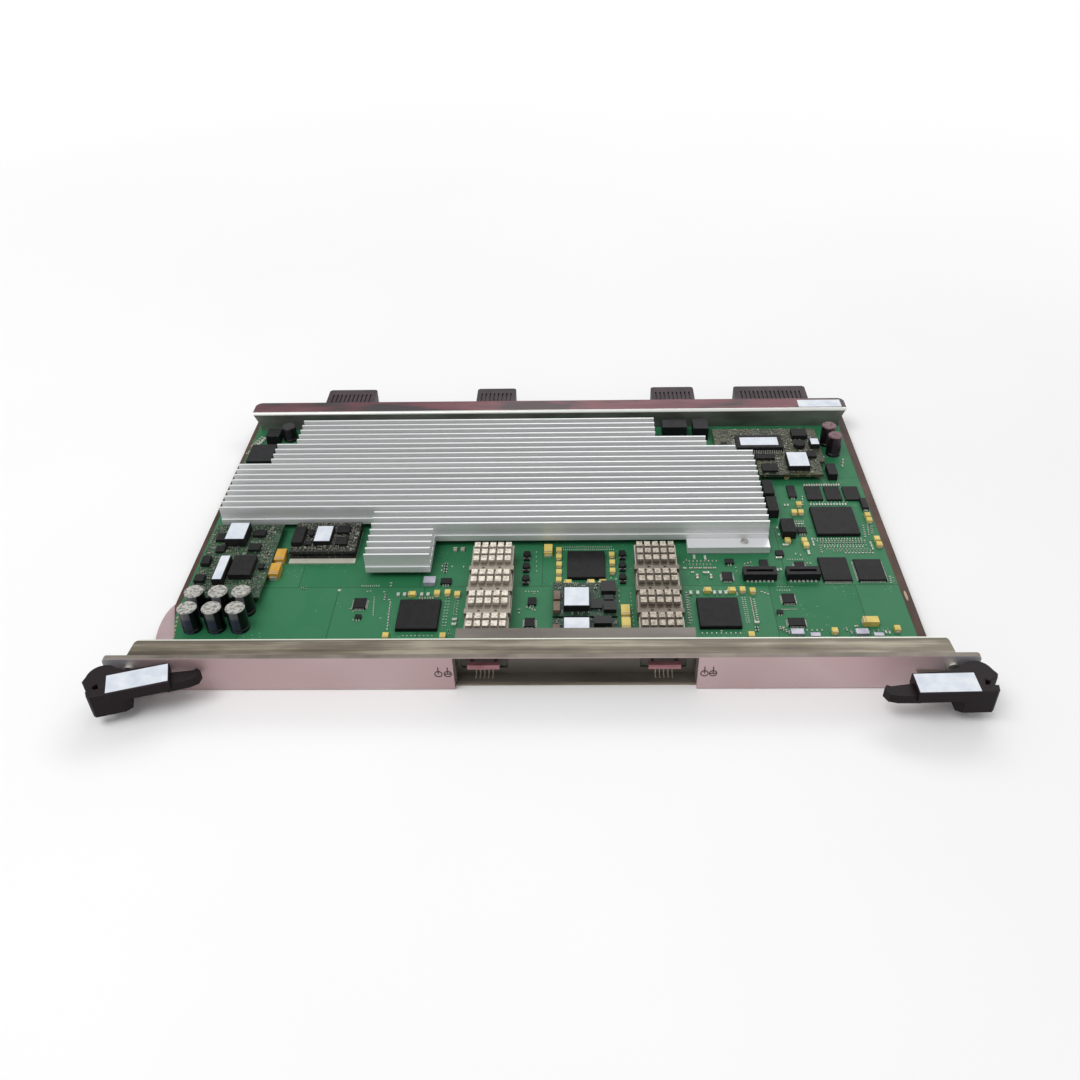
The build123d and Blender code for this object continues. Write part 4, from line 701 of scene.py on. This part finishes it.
# Rows on the main board: (first x, first reach, last x, last reach, how many, size, along X, slot)
passive_rows = (
    (-75.4, 54.0, -74.2, 34.6, 10, "small", False, PALE),
    (-74.9, 53.0, -73.9, 35.4, 9, "dot", True, BLACK),
    (-77.0, 69.0, -76.8, 66.8, 2, "small", True, PALE),
    (-72.0, 59.5, -68.8, 59.5, 2, "large", False, PALE),
    (-60.2, 59.5, -57.0, 59.5, 2, "large", False, PALE),
    (-61.0, 57.2, -54.4, 57.2, 6, "small", False, TAN),
    (-47.6, 57.0, -47.6, 37.0, 10, "dot", True, PALE),
    (-46.2, 57.0, -46.2, 37.0, 10, "dot", True, PALE),
    (-42.9, 57.0, -42.9, 45.0, 8, "dot", False, BLACK),
    (-41.6, 57.0, -41.6, 45.0, 7, "dot", True, PALE),
    (-42.0, 40.8, -42.0, 37.4, 2, "large", True, PALE),
    (-44.2, 33.6, -43.4, 31.0, 2, "small", True, BLACK),
    (-66.0, 30.0, -52.0, 30.0, 8, "dot", True, PALE),
    (-50.2, 84.0, -50.2, 77.4, 4, "medium", True, BLACK),
    (-52.2, 82.4, -52.2, 78.6, 2, "small", False, PALE),
    (-46.6, 95.4, -42.6, 95.4, 2, "stout", False, TAN),
    (-41.0, 81.5, -47.0, 81.8, 2, "small", False, PALE),
    (-79.6, 62.0, -76.2, 56.0, 2, "small", True, PALE),
    (-78.6, 59.0, -78.6, 56.6, 2, "medium", False, BLACK),
    (-78.6, 42.6, -91.8, 41.4, 2, "dot", True, PALE),
    (-121.8, 65.3, -120.4, 64.6, 2, "small", True, BLACK),
    (-88.2, 62.6, -86.6, 62.9, 2, "dot", True, PALE),
    (-91.6, 66.8, -83.0, 66.8, 9, "dot", False, PALE),
    (-84.0, 58.0, -82.6, 45.0, 9, "dot", False, PALE),
    (-94.8, 49.4, -93.0, 47.6, 2, "dot", True, TAN),
    (-10.7, 48.4, -10.7, 45.8, 2, "small", True, PALE),
    (-7.0, 50.0, -3.0, 47.8, 4, "small", False, TAN),
    (-3.6, 61.6, -3.6, 60.2, 2, "small", True, TAN),
    (-3.6, 93.5, -3.0, 78.0, 5, "dot", False, PALE),
    (-8.0, 61.8, -2.0, 61.8, 5, "dot", False, PALE),
    (10.6, 95.4, 37.0, 95.4, 25, "dot", False, PALE),
    (10.4, 97.6, 36.0, 97.6, 22, "dot", False, TAN),
    (17.2, 67.2, 19.6, 67.2, 2, "medium", False, PALE),
    (22.6, 67.0, 22.6, 65.4, 2, "small", False, TAN),
    (24.6, 60.8, 28.6, 60.4, 3, "small", False, PALE),
    (35.2, 72.0, 37.6, 71.0, 2, "small", False, PALE),
    (35.6, 97.6, 35.6, 96.0, 2, "small", True, PALE),
    (38.8, 62.0, 38.8, 54.0, 3, "small", False, TAN),
    (44.6, 60.0, 45.2, 31.0, 11, "dot", False, TAN),
    (72.3, 60.4, 72.3, 38.0, 13, "small", True, PALE),
    (73.4, 59.0, 73.4, 40.0, 9, "dot", False, TAN),
    (74.5, 59.8, 78.0, 59.8, 2, "large", False, PALE),
    (86.4, 59.8, 92.0, 59.8, 3, "large", False, PALE),
    (97.6, 60.0, 97.6, 58.4, 2, "small", False, PALE),
    (73.2, 79.4, 76.9, 76.0, 2, "medium", True, PALE),
    (83.8, 75.6, 87.0, 75.6, 2, "bar", True, PALE),
    (78.8, 88.2, 84.4, 87.6, 2, "bar", False, PALE),
    (73.0, 84.0, 74.6, 86.0, 2, "small", False, TAN),
    (76.0, 82.4, 86.6, 82.4, 7, "small", False, BLACK),
    (76.4, 79.4, 88.4, 79.4, 6, "medium", True, TAN),
    (76.0, 85.2, 90.0, 85.2, 8, "small", False, TAN),
    (79.0, 72.6, 86.0, 72.6, 2, "bar", False, TAN),
    (104.6, 91.0, 104.6, 88.0, 1, "bar", False, PALE),
    (99.4, 80.0, 99.4, 77.0, 2, "dot", True, PALE),
    (104.4, 82.6, 107.6, 84.0, 3, "small", False, TAN),
    (104.0, 80.6, 107.8, 80.8, 4, "small", False, BLACK),
    (99.8, 56.6, 99.8, 38.4, 13, "dot", True, PALE),
    (101.0, 56.6, 101.0, 38.4, 13, "dot", True, PALE),
    (103.8, 56.0, 103.8, 40.0, 11, "small", False, TAN),
    (105.3, 55.0, 105.3, 40.6, 10, "small", True, PALE),
    (104.5, 41.4, 104.5, 37.8, 2, "large", True, PALE),
    (103.9, 34.6, 103.9, 32.6, 2, "medium", True, BLACK),
    (77.6, 30.8, 95.8, 30.8, 9, "small", False, PALE),
    (87.0, 32.4, 87.0, 30.0, 1, "small", True, PALE),
    (110.0, 60.6, 113.0, 59.0, 3, "small", True, PALE),
    (115.2, 34.0, 119.0, 31.0, 4, "medium", False, BLACK),
    (116.8, 34.6, 118.4, 33.0, 2, "small", True, PALE),
    (118.0, 61.8, 124.0, 61.8, 6, "dot", False, PALE),
    (118.0, 47.6, 125.0, 47.6, 7, "dot", True, TAN),
    (118.6, 64.6, 125.6, 64.6, 5, "dot", True, TAN),
    (120.6, 77.6, 122.2, 78.0, 2, "medium", False, PALE),
    (127.0, 86.2, 134.6, 86.2, 7, "dot", False, PALE),
    (131.8, 90.6, 134.2, 89.6, 2, "small", False, PALE),
    (138.8, 91.6, 138.8, 90.0, 1, "bar", False, PALE),
    (122.6, 87.4, 127.8, 98.0, 2, "bar", True, PALE),
    (136.4, 83.0, 138.2, 83.0, 2, "small", False, TAN),
    (157.4, 76.4, 157.4, 71.6, 3, "large", False, PALE),
    (176.4, 72.0, 175.8, 67.4, 4, "small", True, PALE),
    (177.6, 71.0, 177.4, 68.4, 2, "dot", True, TAN),
    (146.6, 33.0, 148.4, 30.8, 3, "medium", False, BLACK),
    (147.4, 30.0, 149.4, 30.2, 2, "medium", True, PALE),
    (151.6, 35.2, 152.6, 36.0, 1, "medium", True, TAN),
    (127.8, 32.6, 134.8, 32.6, 4, "small", False, TAN),
    (157.0, 31.6, 166.0, 32.6, 5, "small", False, BLACK),
    (164.8, 31.0, 166.4, 30.6, 2, "medium", False, PALE),
    (144.0, 103.2, 168.4, 103.2, 18, "small", False, PALE),
    (145.0, 101.4, 170.0, 101.4, 17, "small", False, TAN),
    (147.0, 99.6, 169.0, 99.6, 15, "small", True, BLACK),
    (147.0, 98.0, 170.0, 98.0, 18, "dot", False, PALE),
    (148.0, 96.4, 168.0, 96.4, 13, "small", False, PALE),
    (149.0, 94.6, 170.0, 94.6, 14, "dot", True, TAN),
    (152.0, 92.8, 171.0, 92.8, 12, "small", False, BLACK),
    (158.0, 91.2, 172.0, 91.2, 9, "small", True, PALE),
    (172.6, 99.4, 172.8, 92.0, 4, "medium", False, PALE),
    (147.4, 134.0, 166.6, 134.0, 13, "medium", False, PALE),
    (148.2, 136.2, 168.0, 136.2, 10, "dot", False, TAN),
    (147.0, 152.6, 166.4, 152.6, 15, "medium", False, PALE),
    (150.0, 154.6, 168.0, 154.6, 9, "dot", True, TAN),
    (144.0, 141.6, 143.0, 134.0, 4, "small", False, PALE),
    (137.5, 139.6, 137.5, 138.0, 1, "large", True, PALE),
    (132.9, 133.6, 134.6, 133.6, 2, "medium", False, PALE),
    (125.7, 113.0, 125.7, 107.0, 2, "medium", False, PALE),
    (135.6, 116.4, 139.8, 116.4, 3, "medium", True, PALE),
    (135.8, 118.6, 140.6, 118.6, 5, "small", False, TAN),
    (136.0, 114.4, 140.4, 114.4, 4, "small", False, BLACK),
    (142.6, 103.0, 142.6, 98.0, 3, "medium", False, PALE),
    (172.0, 114.6, 171.0, 105.0, 6, "small", True, PALE),
    (174.4, 115.0, 173.4, 107.0, 5, "small", False, TAN),
    (176.4, 114.0, 175.4, 108.0, 4, "small", True, TAN),
    (145.6, 92.0, 145.6, 97.6, 4, "small", True, TAN),
    (132.6, 157.0, 135.2, 157.0, 2, "medium", True, PALE),
    (141.8, 156.8, 147.4, 156.8, 2, "large", True, PALE),
    (158.8, 156.8, 158.8, 156.8, 1, "large", True, PALE),
    (162.0, 178.0, 166.0, 188.0, 4, "medium", False, PALE),
    (172.4, 172.0, 174.0, 178.0, 3, "medium", False, TAN),
    (-180.0, 198.0, -176.6, 208.0, 6, "medium", True, TAN),
    (-178.0, 195.0, -174.0, 206.0, 6, "large", True, PALE),
    (-171.0, 203.0, -166.0, 209.0, 4, "medium", False, PALE),
    (-181.0, 190.0, -178.4, 196.0, 4, "medium", True, TAN),
)
for first_x, first_reach, last_x, last_reach, count, size, along_x, slot in passive_rows:
    for index in range(count):
        share = index / max(count - 1, 1)
        x = first_x + (last_x - first_x) * share
        y = reach(first_reach + (last_reach - first_reach) * share)
        add_passive(passives, x, y, BOARD_TOP, size, along_x, slot)

piece("chip_passives", passives, passive_slots)

# Crowded modules: (left, right, front, rear, foot, how many)
crowd = bmesh.new()
module_fields = (
    (-176.6, -141.4, 58.0, 112.6, LEFT_MODULE_TOP, 300),
    (-132.4, -98.8, 89.2, 112.8, BRICK_TOP, 260),
    (122.8, 157.6, 158.0, 205.4, RIGHT_MODULE_TOP, 240),
    (100.6, 121.6, 181.0, 205.4, RIGHT_MODULE_TOP, 90),
    (6.4, 36.8, 42.0, 65.4, MIDDLE_MODULE_TOP, 70),
    (6.4, 36.8, 20.4, 38.6, MIDDLE_MODULE_TOP, 50),
)
for left, right, front, rear, foot, count in module_fields:
    for _ in range(count * 3):
        x = round(seeded.uniform(left, right) * 2) / 2
        y = round(reach(seeded.uniform(front, rear)) * 2) / 2
        size = seeded.choice(("dot", "dot", "small", "small", "small", "medium"))
        slot = seeded.choice((TAN, BLACK, BLACK, PALE))
        along_x = seeded.random() < 0.5
        if add_passive(crowd, x, y, foot, size, along_x, slot):
            count -= 1
        if count == 0:
            break
piece("module_passives", crowd, module_slots)

# Leads: rows of bent tin strips along the sides of packages
leads = bmesh.new()


def add_lead_row(start, step, count, outward, foot, rise, out, width):
    """Gull-wing leads from start, one every step, pointing outward."""
    along = Vector((*step, 0)).normalized()
    out_dir = Vector((*outward, 0))
    upper = ((0.0, rise), (out * 0.45, rise), (out * 0.55, 0.12), (out, 0.12))
    lower = ((0.0, rise - 0.14), (out * 0.35, rise - 0.14), (out * 0.45, 0.0), (out, 0.0))
    for index in range(count):
        root = Vector((*start, foot)) + Vector((*step, 0)) * index
        loops = []
        for high, low in zip(upper, lower):
            corners = ((high, -1), (high, 1), (low, 1), (low, -1))
            places = [
                root + out_dir * point[0] + along * side * width / 2 + Vector((0, 0, point[1]))
                for point, side in corners
            ]
            loops.append([leads.verts.new(place * MM) for place in places])
        close_loops(leads, loops, 0)


def lead_package(low, high, pitch, sides, rise=0.7, out=0.9):
    """Leads on the given sides of a package, from its lowest and highest corner."""
    middle_x, middle_y = (low[0] + high[0]) / 2, (low[1] + high[1]) / 2
    width = pitch * 0.5
    spans = {"front": (0, 1, -1), "rear": (0, 1, 1), "left": (1, 0, -1), "right": (1, 0, 1)}
    for side in sides:
        along, across, direction = spans[side]
        count = max(2, int((high[along] - low[along] - 0.6) / pitch))
        start = [middle_x, middle_y]
        start[along] -= pitch * (count - 1) / 2
        start[across] = high[across] if direction > 0 else low[across]
        step = [0, 0]
        step[along] = pitch
        outward = [0, 0]
        outward[across] = direction
        add_lead_row(start, step, count, outward, low[2], rise, out, width)


for low, high in solid_boxes("small_chips"):
    if high[0] - low[0] > 4.9 and high[1] - low[1] > 4.9:
        lead_package(low, high, 0.65, ("front", "rear", "left", "right"))
    else:
        lead_package(low, high, 1.27, ("front", "rear"), out=1.1)
flash_left, flash_right = sorted(solid_boxes("flash_chips"))
lead_package(*flash_left, 0.5, ("front", "rear"), 0.6, 1.1)
lead_package(*flash_right, 0.8, ("front", "rear", "left", "right"), 0.6, 0.8)
for low, high in solid_boxes("board_sockets"):
    lead_package(low, high, 2.1, ("front", "rear"), 0.5, 1.2)
right_label = max(solid_boxes("right_module_cores"), key=lambda box: box[1][2])
lead_package(*right_label, 1.3, ("front", "rear", "left"), 1.4, 1.6)
piece("chip_leads", leads, ("tin",))

# Tantalum capacitors: tinned ends at their feet, and a band across the top near one end
ends = bmesh.new()
for low, high in solid_boxes("tantalum_capacitors"):
    size = [high[axis] - low[axis] for axis in range(3)]
    middle = [(high[axis] + low[axis]) / 2 for axis in range(3)]
    long_axis = 0 if size[0] > size[1] else 1
    length, width = size[long_axis], size[1 - long_axis]
    for direction in (-1, 1):
        place = [middle[0], middle[1], low[2]]
        place[long_axis] += direction * (length / 2 + 0.25)
        block = [width * 0.7] * 2
        block[long_axis] = 0.5
        add_block(ends, place, (*block, size[2] * 0.55), 0, 0.08)
    band = [middle[0], middle[1], high[2]]
    band[long_axis] -= length * 0.36
    stripe = [width * 0.94] * 2
    stripe[long_axis] = length * 0.12
    add_block(ends, band, (*stripe, 0.03), 1)
piece("tantalum_ends", ends, ("tin", "ceramic"))

# Filter inductors: a rounded terminal in front of and behind each core
terminals = bmesh.new()
for low, high in solid_boxes("filter_inductors"):
    if high[2] - low[2] > 2:
        for y in (low[1], high[1]):
            add_disc(terminals, ((low[0] + high[0]) / 2, y, BOARD_TOP), 1.7, 0.8, 0.9, 0, 20)
piece("filter_terminals", terminals, ("tin",))

# Dark block with tinned ends beside the processor
block = bmesh.new()
block_x, block_y = 176.3, reach(133)
block_length, block_width, block_height = 9.6, 3.4, 2.2
add_block(block, (block_x, block_y, BOARD_TOP), (block_width, block_length, block_height), 0, 0.3)
for direction in (-1, 1):
    tab_y = block_y + direction * (block_length / 2 + 0.2)
    add_block(block, (block_x, tab_y, BOARD_TOP), (block_width * 0.7, 0.8, 0.9), 1, 0.1)
piece("edge_block", block, ("dark", "tin"))

# Bare pads on the main board
pads = bmesh.new()
add_disc(pads, (-102.7, reach(63.9), BOARD_TOP), 0.8, 0.8, 0.04)
add_disc(pads, (180.9, reach(57.6), BOARD_TOP), 0.7, 3.8, 0.04, 1)
for index in range(5):
    add_disc(pads, (-177.4 - 0.5 * index, reach(31.5 + 3.1 * index), BOARD_TOP), 0.5, 1.0, 0.04, 1)
piece("bare_pads", pads, ("tin", "ceramic"))

# Ring-and-stem marks printed round the light pipes
rings = bmesh.new()
mark_face = PANEL_FRONT - 0.03
mark_radius = 1.65
mark_line = 0.24
stem_rise = 2.5
ring_steps = 24
for order, (low, high) in enumerate(sorted(solid_boxes("light_pipes"))):
    middle_x, middle_z = (low[0] + high[0]) / 2, (low[2] + high[2]) / 2
    circle = []
    for index in range(ring_steps + 1):
        angle = 2 * math.pi * index / ring_steps
        x = middle_x + mark_radius * math.cos(angle)
        circle.append((x, mark_face, middle_z + mark_radius * math.sin(angle)))
    add_tube(rings, circle, mark_line, 0, 6)
    stem_top = middle_z + mark_radius + stem_rise
    add_tube(rings, ((middle_x, mark_face, middle_z), (middle_x, mark_face, stem_top)), mark_line, 0, 6)
    if order % 2:
        bar_ends = [(middle_x + side * mark_radius, mark_face, middle_z) for side in (-1, 1)]
        add_tube(rings, bar_ends, mark_line, 0, 6)
piece("light_marks", rings, ("dark_ink",))

# Floor, world, lamps and camera
floor_half = 6
floor_drop = 0.0002
shadow_reach = 0.34
backdrop_reach = 0.9
floor_mesh = bmesh.new()
signs = ((-1, -1), (1, -1), (1, 1), (-1, 1))
corners = [floor_mesh.verts.new((x * floor_half, y * floor_half, 0)) for x, y in signs]
floor_mesh.faces.new(corners)
floor_data = bpy.data.meshes.new("floor")
floor_mesh.to_mesh(floor_data)
floor_mesh.free()
floor = bpy.data.objects.new("floor", floor_data)
floor.location.z = -floor_drop
bpy.context.scene.collection.objects.link(floor)
paper = Surface("floor_paper")
paper_tone = paper.ramp(paper.noise(2.0), ((0.3, (0.88, 0.88, 0.88, 1)), (0.7, (0.92, 0.92, 0.92, 1))))
paper.set(Base_Color=paper_tone, Roughness=0.9, Specular_IOR_Level=0.1)


def seen_directly(tree):
    """1 for rays from the camera, off a gloss or through glass, and 0 for the light that falls on things."""
    rays = tree.nodes.new("ShaderNodeLightPath")
    seen = rays.outputs["Is Camera Ray"]
    for other in ("Is Glossy Ray", "Is Transmission Ray"):
        joined = tree.nodes.new("ShaderNodeMath")
        joined.operation = "MAXIMUM"
        tree.links.new(seen, joined.inputs[0])
        tree.links.new(rays.outputs[other], joined.inputs[1])
        seen = joined.outputs["Value"]
    return seen


def blend(tree, share, first, second, target):
    """Mix two shaders into the surface of a material or a world."""
    mixed = tree.nodes.new("ShaderNodeMixShader")
    tree.links.new(share, mixed.inputs["Fac"])
    tree.links.new(first, mixed.inputs[1])
    tree.links.new(second, mixed.inputs[2])
    tree.links.new(mixed.outputs["Shader"], tree.nodes[target].inputs["Surface"])


# Far from the card the floor turns into the white backdrop, and near it keeps the shadow
distance = paper.add("ShaderNodeVectorMath", operation="LENGTH")
paper.feed(paper.position, distance.inputs[0])
far = paper.band(distance.outputs["Value"], shadow_reach, backdrop_reach)
backdrop = paper.add("ShaderNodeEmission")
backdrop.inputs["Color"].default_value = (1, 1, 1, 1)
share = paper.maths("MULTIPLY", far, seen_directly(paper.tree))
paper_shader = paper.shader.outputs["BSDF"]
blend(paper.tree, share, paper_shader, backdrop.outputs["Emission"], "Material Output")
floor_data.materials.append(paper.material)

soft_light = 0.55
world = bpy.data.worlds.new("studio")
bpy.context.scene.world = world
world.use_nodes = True
tree = world.node_tree
soft = tree.nodes["Background"]
soft.inputs["Color"].default_value = (1, 1, 1, 1)
soft.inputs["Strength"].default_value = soft_light
white = tree.nodes.new("ShaderNodeBackground")
white.inputs["Color"].default_value = (1, 1, 1, 1)
white.inputs["Strength"].default_value = 1.0
blend(tree, seen_directly(tree), soft.outputs["Background"], white.outputs["Background"], "World Output")


def lamp(name, place, size, watts):
    """A rectangular soft light that points at the card."""
    data = bpy.data.lights.new(name, "AREA")
    data.shape = "RECTANGLE"
    data.size, data.size_y = size
    data.energy = watts
    made = bpy.data.objects.new(name, data)
    made.location = place
    made.rotation_euler = (-Vector(place)).to_track_quat("-Z", "Y").to_euler()
    bpy.context.scene.collection.objects.link(made)


lamp("key", (-0.6, -0.5, 1.5), (1.2, 0.8), 13)
lamp("back", (0.5, 1.3, 1.2), (1.6, 0.5), 9)

# The camera of the photograph: its place in metres, and its turns in degrees
camera_place = (0.0197135, -0.4463596, 0.348672)
camera_turns = (-1.65744, 38.16769, -1.3721)
camera_data = bpy.data.cameras.new("camera")
camera_data.sensor_width = 36
camera_data.lens = 34.65584
camera_data.shift_x = -0.0157073
camera_data.shift_y = 0.0009725
camera_data.clip_start = 0.01
camera = bpy.data.objects.new("camera", camera_data)
yaw, pitch, roll = (math.radians(angle) for angle in camera_turns)
forward = Vector((math.sin(yaw) * math.cos(pitch), math.cos(yaw) * math.cos(pitch), -math.sin(pitch)))
level = Vector((math.cos(yaw), -math.sin(yaw), 0))
upright = level.cross(forward)
right = math.cos(roll) * level + math.sin(roll) * upright
top = -math.sin(roll) * level + math.cos(roll) * upright
turn = Matrix((right, top, -forward)).transposed()
camera.matrix_world = Matrix.Translation(camera_place) @ turn.to_4x4()
bpy.context.scene.collection.objects.link(camera)
bpy.context.scene.camera = camera
bpy.context.scene.view_settings.view_transform = "Standard"
